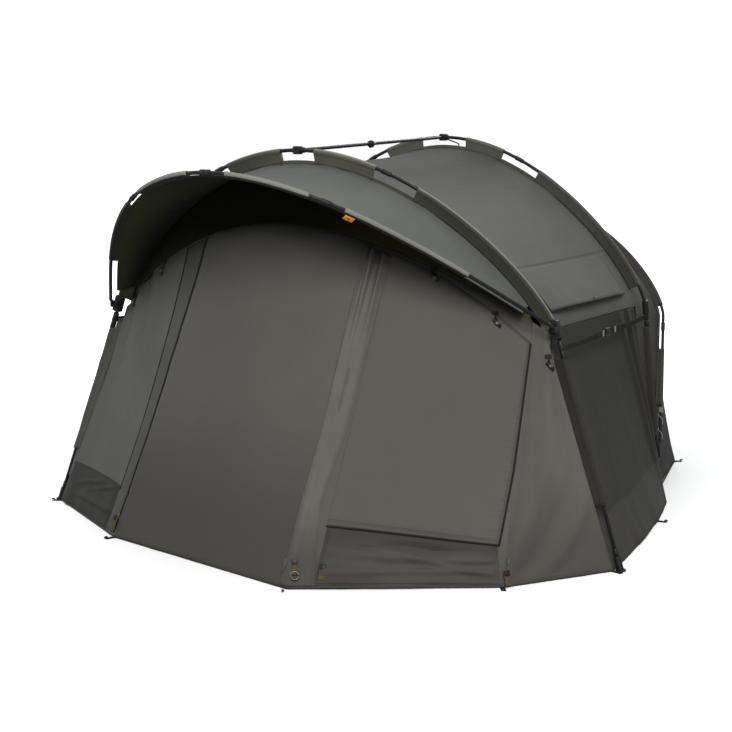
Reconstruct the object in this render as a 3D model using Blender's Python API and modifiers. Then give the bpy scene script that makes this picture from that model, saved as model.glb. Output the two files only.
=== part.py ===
"""Two-person bivvy tent: four arched ribs on folding blocks, tensioned cloth panels, door, vents, straps."""
import math

import bmesh
import bpy
from mathutils import Matrix, Vector

# Place of the front blocks' line on the floor plan
CENTRE_X = 0.0
CENTRE_Y = -0.6643

# Tubes, their joint sleeves and the clearances between pieces
TUBE_RADIUS = 0.008
JOINT_RADIUS = 0.0105
JOINT_LENGTH = 0.042
BORE_RADIUS = 0.0092
SLEEVE_PLAY = 0.0020
RUN_GAP = 0.0004
CLOTH_DROP = 0.0006
SEAM_GAP = 0.0008
CORNER_GAP = 0.0016
EDGE_GAP = 0.0013
RIDGE_GAP = 0.0016
BACK_GAP = 0.0030
END_GAP = 0.0010
VALANCE_DROP = 0.0096

# Cloth
CLOTH = 0.0024
STIFF_CLOTH = 0.0030
SHEET = 0.0030
HEM = 0.0045

# Half width and height of the line through the two front blocks, and spread of the front legs
FRONT_HALF = 1.082
FRONT_HEIGHT = 0.957
FRONT_SPLAY = 0.318

# Place of the front panels' upper edge inside the blocks, and straight stub of a folding rib above its eye
EDGE_INSET = 0.032
EDGE_DROP = 0.022
STUB = 0.040

# Half width and height of the rear rib's ends, spread of its legs, and the back rib's pivots
REAR_HALF = 1.037
REAR_HEIGHT = 0.907
REAR_SPLAY = 0.068
BACK_HEIGHT = 0.190
BACK_HALF = REAR_HALF + REAR_SPLAY * (1 - BACK_HEIGHT / REAR_HEIGHT)
BACK_INSET = 0.116

# Ribs: half width, fore-and-aft place and height of the ends, rise, and the curve's two handles
FRONT_RIB = {"half": FRONT_HALF, "y": 0.000, "z": FRONT_HEIGHT, "rise": 0.756, "low": 0.249, "top": 0.533,
             "tilt": 17.2, "lean": 17.6}
REAR_RIB = {"half": REAR_HALF, "y": 1.376, "z": REAR_HEIGHT, "rise": 0.818, "low": 0.194, "top": 0.539,
            "tilt": 6.1, "lean": 4.3}
HOOD_RIB = {"half": FRONT_HALF, "y": -0.038, "z": FRONT_HEIGHT, "rise": 1.077, "low": 0.470, "top": 0.484,
            "tilt": 54.5, "lean": 31.1, "foot_half": FRONT_HALF, "leg": STUB}
BACK_RIB = {"half": BACK_HALF - BACK_INSET, "y": 1.482, "z": BACK_HEIGHT, "rise": 0.675, "low": 0.200, "top": 0.500,
            "tilt": -34.0, "lean": 15.0, "foot_half": BACK_HALF, "leg": 0.745}
FRONT_EDGE = {"half": FRONT_HALF - EDGE_INSET, "y": 0.020, "z": FRONT_HEIGHT - EDGE_DROP, "rise": 0.600, "low": 0.450,
              "top": 0.370, "tilt": 42.0, "lean": 42.0}

# Depth of the upright cloth webs between tube and roof
FRONT_WEB = 0.058
REAR_WEB = 0.052
HOOD_WEB = 0.030
BACK_WEB = 0.030
WEB_HEM = 0.013
NOTCH_STEP = 0.002

# Feet of the two standing ribs
FRONT_FOOT = (FRONT_HALF + FRONT_SPLAY, -0.073)
REAR_FOOT = (REAR_HALF + REAR_SPLAY, 1.473)
FOOT_RADIUS = 0.0145
FOOT_HEIGHT = 0.060
SOLE_RADIUS = 0.021
SOLE_THICK = 0.007
LEG_START = 0.012
REAR_LEG_START = 0.0048

# Blocks of the folding ribs, with eye, pin and slot
RIB_PIVOT = {"eye": 0.0130, "width": 0.0170, "pin": 0.0040, "cheek": 0.0150}
BAR_PIVOT = {"eye": 0.0105, "width": 0.0160, "pin": 0.0030, "cheek": 0.0120}
PIN_PLAY = 0.00008
SLOT_PLAY = 0.0006
BLOCK_WIDTH = 0.036
BLOCK_HEIGHT = 0.076
BLOCK_BACK = 0.014
BLOCK_ROUND = 0.0030
LOW_BLOCK_HEIGHT = 0.064
COLLAR_RADIUS = 0.0150
COLLAR_HEIGHT = 0.064

# Places of the cloth's corners inside or outside the four feet
CORNER_TUCK = 0.022
SIDE_TUCK = 0.0223
SIDE_STAND = 0.014
BACK_STAND = 0.015
BACK_TUCK = 0.102

# Floor plan of the cloth: corner pegs from the front left round to the rear
LEFT_CORNER = (CORNER_TUCK - FRONT_FOOT[0], -0.100)
DOOR_LEFT = (-0.740, -0.563)
DOOR_RIGHT = (0.324, -0.914)
WINDOW_RIGHT = (1.065, -0.518)
RIGHT_CORNER = (FRONT_FOOT[0] - CORNER_TUCK, -0.100)
SIDE_FRONT = (FRONT_FOOT[0] - SIDE_TUCK, -0.0976)
SIDE_BOW = ((1.346, 0.357), (1.299, 0.784), (1.236, 1.142))
SIDE_REAR = (REAR_FOOT[0] + SIDE_STAND, 1.436)
BACK_START = (REAR_FOOT[0] - BACK_STAND, 1.500)
BACK_CORNER = (REAR_FOOT[0] - BACK_TUCK, 2.096)
BACK_MIDDLE = (0.0, 2.190)

# Upper outer corner of the front panels, inside and below each block
LEG_INSET = 0.036
LEG_DROP = 0.057
LEG_TOP = (FRONT_HALF - LEG_INSET, 0.004, FRONT_HEIGHT - LEG_DROP)

# Ridge bar, its bracket on the front crown and its clip on the rear crown
BAR_RADIUS = 0.0075
BAR_REACH = 0.034
BRACKET_WIDTH = 0.028
BRACKET_HEIGHT = 0.034
BRACKET_BACK = 0.017
CLIP_WIDTH = 0.026
CLIP_ARM = 0.052
BAR_STOP = 0.018

# Side vent cowls
COWL_STAND = 0.024
COWL_CLEAR = 0.0009

# Side straps and their buckles
STRAP_WIDTH = 0.024
STRAP_THICK = 0.0020
STRAP_HEIGHTS = (0.880, 0.860)
LOOP_THICK = 0.0022
SOCKET_LENGTH = 0.046
PLUG_LENGTH = 0.024
BUCKLE_WIDTH = 0.038
BUCKLE_THICK = 0.012
PRONG_LENGTH = 0.026
PRONG_WIDTH = 0.0030
PRONG_THICK = 0.0050
PRONG_PLACE = 0.0146
BUCKLE_PLAY = 0.0005
STRAP_SEAT = 0.012

# Storm flap and zip sliders
FLAP_CLEAR = 0.0011
ZIP_BODY = (0.010, 0.007, 0.024)
ZIP_PULL = (0.006, 0.002, 0.036)
ZIP_STANDS = (0.0013, 0.0019, 0.0008)
ZIP_ASIDE = 0.010
ZIP_HEIGHT = 0.090

# Plain fabric tab on the hood rib
TAB_WIDTH = 0.040
TAB_DROP = 0.032
TAB_THICK = 0.0026

# Shares along a rib's length where its webs leave the tube bare
FRONT_BARE_SHARES = ((0.296, 0.368), (0.471, 0.529), (0.632, 0.704))
REAR_BARE_SHARES = ((0.307, 0.382), (0.456, 0.544), (0.618, 0.693))
HOOD_BARE_SHARES = ((0.326, 0.372), (0.474, 0.526), (0.628, 0.674))
BACK_BARE_SHARES = ((0.140, 0.205), (0.474, 0.526), (0.795, 0.860))
FRONT_WEB_SHARES = (0.016, 0.984)
REAR_WEB_SHARES = (0.040, 0.960)
HOOD_WEB_SHARES = (0.150, 0.850)
BACK_WEB_SHARES = (0.060, 0.940)
JOINT_SHARES = (0.350, 0.650)
BACK_JOINT_SHARES = (0.172, 0.828)
RIB_START_SHARE = 0.004
ROOF_END_SHARE = 0.002
HOOD_END_SHARE = 0.052
BACK_END_SHARE = 0.006
DOOR_TOP_SHARES = (0.375, 0.663)
WINDOW_TOP_SHARE = 0.950
VALANCE_END_SHARE = 0.050
COWL_SHARES = (0.034, 0.118)
COWL_DEPTH_SHARES = (0.130, 0.900)
BACK_CORNER_SHARE = 0.184
BACK_PEG_SHARE = 0.196
LOW_BLOCK_SHARE = 0.190
FLAP_SHARE = 0.55
SIDE_TOP_SHARES = (0.015, 0.985)
BUCKLE_SHARE = 0.50
TAB_SHARE = 0.683

# Places along a tube's joint, in half lengths from its middle, where the tube starts to thicken and is thick
SWELL_PLACES = (-1.08, -1, 1, 1.08)
BAR_JOINT_SHARE = 0.45

# Fineness of the outlines
STATION_COUNT = 40
EDGE_COUNT = 32
PANEL_ROWS = 6
ROOF_ROWS = 5
SAMPLES = 120
JOIN_DISTANCE = 0.00001


def spot(x, y, z):
    """Point in the part's frame from a place measured from the front blocks."""
    return Vector((x + CENTRE_X, y + CENTRE_Y, z))


def blend(first, second, share):
    return first + (second - first) * share


def profile(rib):
    """Half outline of a rib in its own plane, from the end to the crown, as (across, up)."""
    lift = rib.get("leg", 0.0)
    lean = math.radians(rib["lean"])
    ends = [Vector((rib["half"], lift)),
            Vector((rib["half"] - rib["low"] * math.sin(lean), lift + rib["low"] * math.cos(lean))),
            Vector((rib["top"], lift + rib["rise"])),
            Vector((0.0, lift + rib["rise"]))]
    points = []
    for step in range(SAMPLES + 1):
        t = step / SAMPLES
        r = 1 - t
        points.append(ends[0] * r ** 3 + ends[1] * 3 * r * r * t + ends[2] * 3 * r * t * t + ends[3] * t ** 3)
    if lift > STUB:
        points.insert(0, Vector((rib["foot_half"], STUB)))
    if lift:
        points.insert(0, Vector((rib["foot_half"], 0.0)))
    return points


def outline(rib):
    """Whole outline from the left end to the right, with the running length at each point."""
    half = profile(rib)
    points = [Vector((-p.x, p.y)) for p in half] + [p.copy() for p in reversed(half[:-1])]
    lengths = [0.0]
    for a, b in zip(points, points[1:]):
        lengths.append(lengths[-1] + (b - a).length)
    return points, lengths


def at_share(points, lengths, share):
    """Point and direction at a share of a polyline's length."""
    goal = share * lengths[-1]
    k = 0
    while k < len(lengths) - 2 and lengths[k + 1] < goal:
        k += 1
    step = lengths[k + 1] - lengths[k]
    return blend(points[k], points[k + 1], (goal - lengths[k]) / step), (points[k + 1] - points[k]) / step


def rib_point(rib, share, inward=0.0, aside=0.0):
    """Point of a rib, moved inward in its plane and aside along the plane's normal."""
    points, lengths = rib["outline"]
    p, along = at_share(points, lengths, share)
    if inward:
        before = at_share(points, lengths, max(share - 0.5 / SAMPLES, 0.0))[1]
        after = at_share(points, lengths, min(share + 0.5 / SAMPLES, 1.0))[1]
        along = (before + after).normalized()
        p = p + Vector((along.y, -along.x)) * inward
    tilt = math.radians(rib["tilt"])
    normal = Vector((0.0, math.cos(tilt), math.sin(tilt)))
    return spot(p.x, rib["y"] - p.y * math.sin(tilt), rib["z"] + p.y * math.cos(tilt)) + normal * aside


def stations(rib):
    """Shares at which a rib's tube, web and cloth all have their corners."""
    found = {k / STATION_COUNT for k in range(STATION_COUNT + 1)}
    length = rib["outline"][1][-1]
    corners = []
    if "leg" in rib:
        corners.append(STUB / length)
    if rib.get("leg", 0.0) > STUB:
        corners.append(BACK_CORNER_SHARE)
    for corner in corners:
        for share in (corner, 1 - corner):
            found = {s for s in found if abs(s - share) > 0.25 / STATION_COUNT} | {share}
    return sorted(found | {0.0, 1.0})


for RIB in (FRONT_RIB, REAR_RIB, HOOD_RIB, BACK_RIB, FRONT_EDGE):
    RIB["outline"] = outline(RIB)
    RIB["stations"] = stations(RIB)


def rail(rib, share, inward=0.0):
    """Point on the straight pieces between a rib's stations, moved inward."""
    known = rib["stations"]
    after = 1
    while after < len(known) - 1 and known[after] < share:
        after += 1
    start, end = known[after - 1], known[after]
    return blend(rib_point(rib, start, inward), rib_point(rib, end, inward), (share - start) / (end - start))


def stations_between(rib, first, last):
    """The two given shares and every station well inside them."""
    margin = 0.1 / STATION_COUNT
    return [first] + [share for share in rib["stations"] if first + margin < share < last - margin] + [last]


class Path:
    """Polyline in space read by its share of length."""

    def __init__(self, points):
        self.points = points
        self.lengths = [0.0]
        for a, b in zip(points, points[1:]):
            self.lengths.append(self.lengths[-1] + (b - a).length)

    def __call__(self, share):
        return at_share(self.points, self.lengths, share)[0]


# Scene set-up
for old in list(bpy.data.objects):
    bpy.data.objects.remove(old, do_unlink=True)
PARTS = bpy.data.collections.new("bivvy_tent")
CUTTERS = bpy.data.collections.new("cutters")
bpy.context.scene.collection.children.link(PARTS)
bpy.context.scene.collection.children.link(CUTTERS)


def material(name, colour, metallic, roughness):
    found = bpy.data.materials.new(name)
    found.use_nodes = True
    shader = found.node_tree.nodes["Principled BSDF"]
    shader.inputs["Base Color"].default_value = (*colour, 1.0)
    shader.inputs["Metallic"].default_value = metallic
    shader.inputs["Roughness"].default_value = roughness
    return found


LOOKS = {
    "tube": ((0.025, 0.026, 0.028), 0.7, 0.45),
    "block": ((0.02, 0.02, 0.02), 0.0, 0.5),
    "roof_cloth": ((0.125, 0.13, 0.105), 0.0, 0.85),
    "wall_cloth": ((0.095, 0.095, 0.085), 0.0, 0.88),
    "dark_cloth": ((0.02, 0.021, 0.018), 0.0, 0.9),
    "floor_cloth": ((0.03, 0.032, 0.028), 0.0, 0.7),
    "strap": ((0.03, 0.032, 0.028), 0.0, 0.8),
    "tab": ((0.75, 0.28, 0.04), 0.0, 0.7),
}


def add(name, mesh, look, smooth=False):
    """Named object in the part's collection, with a material of its own."""
    thing = bpy.data.objects.new(name, mesh)
    PARTS.objects.link(thing)
    mesh.materials.clear()
    mesh.materials.append(material(name, *LOOKS[look]))
    if smooth:
        mesh.shade_smooth()
    return thing


def grid_mesh(name, rows):
    """Open surface lofted through rows of points, its faces turned away from the cabin."""
    verts = [p for row in rows for p in row]
    wide = len(rows[0])
    faces = []
    for i in range(len(rows) - 1):
        for j in range(wide - 1):
            a = i * wide + j
            faces.append((a, a + 1, a + wide + 1, a + wide))
    middle = sum(verts, Vector()) / len(verts)
    heart = Vector((0.0, 0.0, middle.z * 0.5))
    turn = Vector()
    for a, b, c, d in faces:
        turn += (verts[c] - verts[a]).cross(verts[d] - verts[b])
    if turn.dot(middle - heart) < 0:
        faces = [tuple(reversed(face)) for face in faces]
    mesh = bpy.data.meshes.new(name)
    mesh.from_pydata([tuple(v) for v in verts], [], faces)
    mesh.update()
    return mesh


def sheet(name, rows, look, thick, offset=-1.0, smooth=True):
    """Cloth panel: a lofted surface given its thickness."""
    thing = add(name, grid_mesh(name, rows), look, smooth)
    solid = thing.modifiers.new("thickness", "SOLIDIFY")
    solid.thickness = thick
    solid.offset = offset
    solid.use_even_offset = True
    return thing


def baked(curve, shift=Vector()):
    """Mesh of a curve, its caps joined to its sides."""
    holder = bpy.data.objects.new(curve.name, curve)
    bpy.context.scene.collection.objects.link(holder)
    bpy.context.view_layer.update()
    ready = bpy.data.meshes.new_from_object(holder.evaluated_get(bpy.context.evaluated_depsgraph_get()))
    bpy.data.objects.remove(holder)
    work = bmesh.new()
    work.from_mesh(ready)
    bmesh.ops.remove_doubles(work, verts=work.verts, dist=JOIN_DISTANCE)
    bmesh.ops.recalc_face_normals(work, faces=work.faces)
    bmesh.ops.translate(work, vec=shift, verts=work.verts)
    work.to_mesh(ready)
    work.free()
    return ready


def tube_mesh(name, points, radius, swell=()):
    """Round tube through a list of points, thicker round the listed places."""
    curve = bpy.data.curves.new(name, "CURVE")
    curve.dimensions = "3D"
    curve.bevel_depth = radius
    curve.bevel_resolution = 2
    curve.use_fill_caps = True
    spline = curve.splines.new("POLY")
    spline.points.add(len(points) - 1)
    for k, p in enumerate(points):
        spline.points[k].co = (*p, 1.0)
        spline.points[k].radius = JOINT_RADIUS / TUBE_RADIUS if k in swell else 1.0
    return baked(curve)


def frame_of(direction, side=Vector((0.0, 0.0, 1.0))):
    """Rotation whose Z runs along a direction, with Y near the given side."""
    z = direction.normalized()
    x = side.cross(z).normalized()
    y = z.cross(x)
    return Matrix((x, y, z)).transposed().to_4x4()


def block_mesh(name, size, turn, centre, rounding=0.0):
    """Box with its edges eased, turned and placed."""
    work = bmesh.new()
    bmesh.ops.create_cube(work, size=1.0)
    bmesh.ops.scale(work, vec=size, verts=work.verts)
    if rounding:
        bmesh.ops.bevel(work, geom=work.edges[:] + work.verts[:], offset=rounding, segments=1, profile=0.5, affect="EDGES")
    bmesh.ops.transform(work, matrix=Matrix.Translation(centre) @ turn, verts=work.verts)
    mesh = bpy.data.meshes.new(name)
    work.to_mesh(mesh)
    work.free()
    return mesh


def round_mesh(name, radius, length, turn, centre, sides=24, far_radius=None):
    """Round bar or cone with its axis along the turned Z."""
    work = bmesh.new()
    bmesh.ops.create_cone(work, cap_ends=True, segments=sides, radius1=radius,
                          radius2=radius if far_radius is None else far_radius, depth=length)
    bmesh.ops.transform(work, matrix=Matrix.Translation(centre) @ turn, verts=work.verts)
    mesh = bpy.data.meshes.new(name)
    work.to_mesh(mesh)
    work.free()
    return mesh


def cut(thing, mesh, name, operation="DIFFERENCE"):
    """Boolean with a helper solid kept in the cutters' collection."""
    tool = bpy.data.objects.new(name, mesh)
    CUTTERS.objects.link(tool)
    tool.hide_render = True
    tool.display_type = "WIRE"
    step = thing.modifiers.new(name, "BOOLEAN")
    step.object = tool
    step.operation = operation
    step.solver = "EXACT"
    return tool


ACROSS = Vector((1.0, 0.0, 0.0))
FORTH = Vector((0.0, 1.0, 0.0))
UP = Vector((0.0, 0.0, 1.0))
LEVEL = Matrix.Identity(4)
SIDES = (("left", -1), ("right", 1))


# Tubes of the ribs, in two halves that meet in a sleeve at the crown
def half_tubes(rib, first, joints):
    """Left and right halves of a rib's tube, with the places where a joint thickens it."""
    length = rib["outline"][1][-1]
    gap = END_GAP / length
    half = JOINT_LENGTH / 2 / length
    for side, start, end in (("left", first, 0.5 - gap), ("right", 0.5 + gap, 1.0 - first)):
        shares = {s: False for s in stations_between(rib, start, end) if all(abs(s - j) > half * 1.5 for j in joints)}
        for joint in joints:
            if start < joint < end:
                shares.update({joint + half * place: abs(place) == 1 for place in SWELL_PLACES})
        order = sorted(shares)
        yield side, [rail(rib, share) for share in order], [k for k, share in enumerate(order) if shares[share]]


def rib_tubes(label, rib, joints):
    for side, points, swell in half_tubes(rib, RIB_START_SHARE, joints):
        add(label + "_tube_" + side, tube_mesh(label, points, TUBE_RADIUS, swell), "tube", True)


def eyed_tubes(label, rib, joints):
    """Rib halves whose low ends carry an eye round the pivot pin."""
    eye, width = RIB_PIVOT["eye"], RIB_PIVOT["width"]
    for side, points, swell in half_tubes(rib, eye / 2 / rib["outline"][1][-1], joints):
        thing = add(label + "_tube_" + side, tube_mesh(label, points, TUBE_RADIUS, swell), "tube", True)
        pivot = rib_point(rib, 0.0 if side == "left" else 1.0)
        cut(thing, round_mesh(label, eye, width, frame_of(ACROSS), pivot, 18), label + "_eye_" + side, "UNION")
        hole = round_mesh(label, RIB_PIVOT["pin"] + PIN_PLAY, width * 2, frame_of(ACROSS), pivot, 24)
        cut(thing, hole, label + "_hole_" + side)


def crown_sleeve(name, rib):
    """Short tube over the joint at the crown: a flat profile screwed round the crown's axis."""
    half = JOINT_LENGTH / 2
    near = TUBE_RADIUS + SLEEVE_PLAY
    far = JOINT_RADIUS + SLEEVE_PLAY
    mesh = bpy.data.meshes.new(name)
    mesh.from_pydata([(far, 0.0, half), (far, 0.0, -half), (near, 0.0, -half), (near, 0.0, half)],
                     [(0, 1), (1, 2), (2, 3), (3, 0)], [])
    thing = add(name, mesh, "tube", True)
    ring = thing.modifiers.new("ring", "SCREW")
    ring.steps = 16
    ring.render_steps = 16
    ring.use_merge_vertices = True
    ring.merge_threshold = JOIN_DISTANCE
    ring.use_normal_calculate = True
    ring.use_normal_flip = True
    thing.matrix_world = Matrix.Translation(rail(rib, 0.5)) @ frame_of(ACROSS)
    return thing


rib_tubes("front_rib", FRONT_RIB, JOINT_SHARES)
rib_tubes("rear_rib", REAR_RIB, JOINT_SHARES)
eyed_tubes("hood_rib", HOOD_RIB, JOINT_SHARES)
eyed_tubes("back_rib", BACK_RIB, BACK_JOINT_SHARES)
for label, rib in (("front_rib", FRONT_RIB), ("rear_rib", REAR_RIB), ("hood_rib", HOOD_RIB), ("back_rib", BACK_RIB)):
    crown_sleeve(label + "_sleeve", rib)


# Blocks that hold a tube and carry a pin in a slot
def pivot_block(name, centre, turn, size, pivot, fit, bores):
    """Body of the given width, back and height, with two cheeks that reach to the pivot pin."""
    width, back, height = size
    reach = pivot.y - centre.y
    away = 1.0 if reach > 0 else -1.0
    front = abs(reach) - fit["eye"] - SLOT_PLAY
    body_at = centre + FORTH * away * (front - back) / 2
    thing = add(name, block_mesh(name, (width, front + back, height), turn, body_at, BLOCK_ROUND), "block")
    lug_width = fit["width"] + (fit["cheek"] - fit["pin"]) * 1.5
    lug_at = pivot + FORTH * away * (-abs(reach) + front / 2) / 2
    lug_size = (lug_width, abs(reach) - front / 2, fit["cheek"] * 2)
    cut(thing, block_mesh(name, lug_size, LEVEL, lug_at), name + "_lug", "UNION")
    cut(thing, round_mesh(name, fit["cheek"], lug_width, frame_of(ACROSS), pivot, 20), name + "_cheeks", "UNION")
    for k, bore in enumerate(bores):
        cut(thing, bore, name + "_bore_" + str(k))
    slot_size = (fit["width"] + SLOT_PLAY * 2, fit["eye"] * 4, fit["cheek"] * 4)
    cut(thing, block_mesh(name, slot_size, LEVEL, pivot + FORTH * away * (fit["eye"] - SLOT_PLAY)), name + "_slot")
    cut(thing, round_mesh(name, fit["pin"], lug_width, frame_of(ACROSS), pivot, 24), name + "_pin", "UNION")
    return thing


# Legs, feet, blocks and collars on both sides
def leg_line(foot, rib, sign):
    """Foot and top of a leg's axis."""
    return spot(sign * foot[0], foot[1], 0.0), spot(sign * rib["half"], rib["y"], rib["z"])


def rib_bore(rib, sign):
    """Cutter along the lowest stretch of a rib's tube."""
    shares = rib["stations"][:3] if sign < 0 else rib["stations"][-3:]
    return tube_mesh("bore", [rail(rib, share) for share in shares], BORE_RADIUS)


def leg_bore(start, run, length):
    """Cutter along a leg's tube, from a point downward."""
    return round_mesh("bore", TUBE_RADIUS + RUN_GAP, length, frame_of(run, ACROSS), start - run * length / 2, 20)


def leg_tube(name, low, top, run):
    add(name, tube_mesh(name, [low, blend(low, top, 0.5), top - run * TUBE_RADIUS], TUBE_RADIUS), "tube", True)


for side, sign in SIDES:
    end_share = 0.0 if sign < 0 else 1.0

    # Front leg, foot with a flat sole, and folding block
    foot, top = leg_line(FRONT_FOOT, FRONT_RIB, sign)
    run = (top - foot).normalized()
    leg_tube("front_leg_" + side, foot + run * LEG_START, top, run)
    shoe = add("front_foot_" + side, round_mesh("front_foot", FOOT_RADIUS, FOOT_HEIGHT * 1.5, frame_of(run, ACROSS),
                                                foot + run * FOOT_HEIGHT / 4, 20), "block", True)
    cut(shoe, round_mesh("sole", SOLE_RADIUS, SOLE_THICK * 2, LEVEL, foot, 24), "front_sole_" + side, "UNION")
    below = block_mesh("below", (FOOT_HEIGHT * 2, FOOT_HEIGHT * 2, FOOT_HEIGHT), LEVEL, foot - UP * FOOT_HEIGHT / 2)
    cut(shoe, below, "front_foot_below_" + side)
    cut(shoe, leg_bore(foot + run * FOOT_HEIGHT * 2, run, FOOT_HEIGHT * 2 - LEG_START + RUN_GAP), "front_foot_bore_" + side)
    lean = frame_of(Vector((run.x, 0.0, run.z)), FORTH)
    pivot_block("front_block_" + side, top, lean, (BLOCK_WIDTH, BLOCK_BACK, BLOCK_HEIGHT), rib_point(HOOD_RIB, end_share),
                RIB_PIVOT, (leg_bore(top, run, BLOCK_HEIGHT), rib_bore(FRONT_RIB, sign)))

    # Rear leg with its collar, and the low block of the back rib
    foot, top = leg_line(REAR_FOOT, REAR_RIB, sign)
    run = (top - foot).normalized()
    leg_tube("rear_leg_" + side, foot + run * REAR_LEG_START, top, run)
    collar = round_mesh("rear_collar", COLLAR_RADIUS, COLLAR_HEIGHT, frame_of(run, ACROSS), top, 20)
    collar = add("rear_collar_" + side, collar, "block", True)
    cut(collar, leg_bore(top, run, COLLAR_HEIGHT), "rear_collar_low_" + side)
    cut(collar, rib_bore(REAR_RIB, sign), "rear_collar_high_" + side)
    pivot = rib_point(BACK_RIB, end_share)
    centre = foot + run * ((pivot.z - foot.z) / run.z)
    lean = frame_of(Vector((run.x, 0.0, run.z)), FORTH)
    pivot_block("rear_block_" + side, centre, lean, (BLOCK_WIDTH, BLOCK_BACK, LOW_BLOCK_HEIGHT), pivot,
                RIB_PIVOT, (leg_bore(centre + run * BLOCK_HEIGHT, run, BLOCK_HEIGHT * 2),))


# Upright webs, notched where the tube is bare
def web(name, rib, depth, ends, bare):
    step = NOTCH_STEP / rib["outline"][1][-1]
    edges = [edge for pair in bare for edge in pair]
    shares = {s for s in stations_between(rib, *ends) if all(abs(s - edge) > step * 3 for edge in edges)}
    for edge in edges:
        shares.update((edge - step, edge + step))
    top, low = [], []
    for share in sorted(shares):
        is_bare = any(start < share < end for start, end in bare)
        top.append(rail(rib, share, depth - WEB_HEM if is_bare else TUBE_RADIUS + RUN_GAP))
        low.append(rail(rib, share, depth))
    return sheet(name, [top, low], "roof_cloth", STIFF_CLOTH, 0.0, False)


web("front_rib_web", FRONT_RIB, FRONT_WEB, FRONT_WEB_SHARES, FRONT_BARE_SHARES)
web("rear_rib_web", REAR_RIB, REAR_WEB, REAR_WEB_SHARES, REAR_BARE_SHARES)
web("hood_rib_web", HOOD_RIB, HOOD_WEB, HOOD_WEB_SHARES, HOOD_BARE_SHARES)
web("back_rib_web", BACK_RIB, BACK_WEB, BACK_WEB_SHARES, BACK_BARE_SHARES)


# Cloth between two curves
def span(name, first, second, rows, look, clear=(RIDGE_GAP, RIDGE_GAP)):
    """Panel stretched between two rows of points, held off each by its own gap."""
    lines = []
    for k in range(rows + 1):
        line = []
        for a, b in zip(first, second):
            length = (b - a).length
            start = min(clear[0] / length, 0.4)
            end = 1 - min(clear[1] / length, 0.4)
            line.append(blend(a, b, start + (end - start) * k / rows))
        lines.append(line)
    return sheet(name, lines, look, CLOTH)


def inner(rib, shares, depth):
    return [rail(rib, share, depth + CLOTH_DROP) for share in shares]


ROOF_SHARES = stations_between(FRONT_RIB, ROOF_END_SHARE, 1 - ROOF_END_SHARE)
HOOD_SHARES = stations_between(HOOD_RIB, HOOD_END_SHARE, 1 - HOOD_END_SHARE)
BACK_SHARES = stations_between(BACK_RIB, BACK_END_SHARE, 1 - BACK_END_SHARE)
ROOF_FRONT = inner(FRONT_RIB, ROOF_SHARES, FRONT_WEB)
ROOF_REAR = inner(REAR_RIB, ROOF_SHARES, REAR_WEB)
span("roof", ROOF_FRONT, ROOF_REAR, ROOF_ROWS, "roof_cloth")
span("front_hood", inner(HOOD_RIB, HOOD_SHARES, HOOD_WEB), inner(FRONT_RIB, HOOD_SHARES, FRONT_WEB), 3, "roof_cloth")


def rear_line():
    """Rear frame's inner line: up one leg, over the rib and down the other leg."""
    lefts, rights = [], []
    for k in range(8):
        share = LOW_BLOCK_SHARE + (1 - LOW_BLOCK_SHARE) * k / 8
        for sign, found in ((-1, lefts), (1, rights)):
            foot, top = leg_line(REAR_FOOT, REAR_RIB, sign)
            found.append(blend(foot, top, share) - ACROSS * sign * REAR_WEB)
    return Path(lefts + inner(REAR_RIB, REAR_RIB["stations"], REAR_WEB) + rights[::-1])


REAR_LINE = rear_line()
span("back_hood", [REAR_LINE(share) for share in BACK_SHARES], inner(BACK_RIB, BACK_SHARES, BACK_WEB), 3, "roof_cloth",
     (RIDGE_GAP, BACK_GAP))

# Back wall from the back rib down to the floor
GROUND_LINE = Path([spot(-BACK_START[0], BACK_START[1], HEM), spot(-BACK_CORNER[0], BACK_CORNER[1], HEM),
                    spot(BACK_MIDDLE[0], BACK_MIDDLE[1], HEM),
                    spot(BACK_CORNER[0], BACK_CORNER[1], HEM), spot(BACK_START[0], BACK_START[1], HEM)])


def matched(share):
    """Share of the floor line that belongs to a share of the back rib."""
    mirrored = min(share, 1 - share)
    if mirrored < BACK_CORNER_SHARE:
        found = mirrored / BACK_CORNER_SHARE * BACK_PEG_SHARE
    else:
        found = BACK_PEG_SHARE + (mirrored - BACK_CORNER_SHARE) / (0.5 - BACK_CORNER_SHARE) * (0.5 - BACK_PEG_SHARE)
    return found if share < 0.5 else 1 - found


span("back_wall", inner(BACK_RIB, BACK_SHARES, BACK_WEB), [GROUND_LINE(matched(share)) for share in BACK_SHARES], 4,
     "wall_cloth", (BACK_GAP, 0.0))

# Side walls between the legs
for side, sign in SIDES:
    floor = Path([spot(sign * x, y, HEM) for x, y in (SIDE_FRONT, *SIDE_BOW, SIDE_REAR)])
    corner = 0 if sign < 0 else -1
    drop = UP * CLOTH_DROP
    eaves = Path([blend(ROOF_FRONT[corner], ROOF_REAR[corner], share) - drop for share in SIDE_TOP_SHARES])
    shares = [k / 8 for k in range(9)]
    span("side_wall_" + side, [floor(share) for share in shares], [eaves(share) for share in shares], 6, "dark_cloth",
         (0.0, 0.0))

# Front panels, from the floor to the curved front edge
EDGE = Path([spot(-LEG_TOP[0], LEG_TOP[1], LEG_TOP[2])] + [rib_point(FRONT_EDGE, share) for share in FRONT_EDGE["stations"]]
            + [spot(LEG_TOP[0], LEG_TOP[1], LEG_TOP[2])])
EDGE_SHARES = sorted({k / EDGE_COUNT for k in range(EDGE_COUNT + 1)} | set(DOOR_TOP_SHARES))


def edge_shares(first, last):
    margin = 0.2 / EDGE_COUNT
    return [first] + [share for share in EDGE_SHARES if first + margin < share < last - margin] + [last]


def floor_spot(corner):
    return spot(corner[0], corner[1], HEM)


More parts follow.
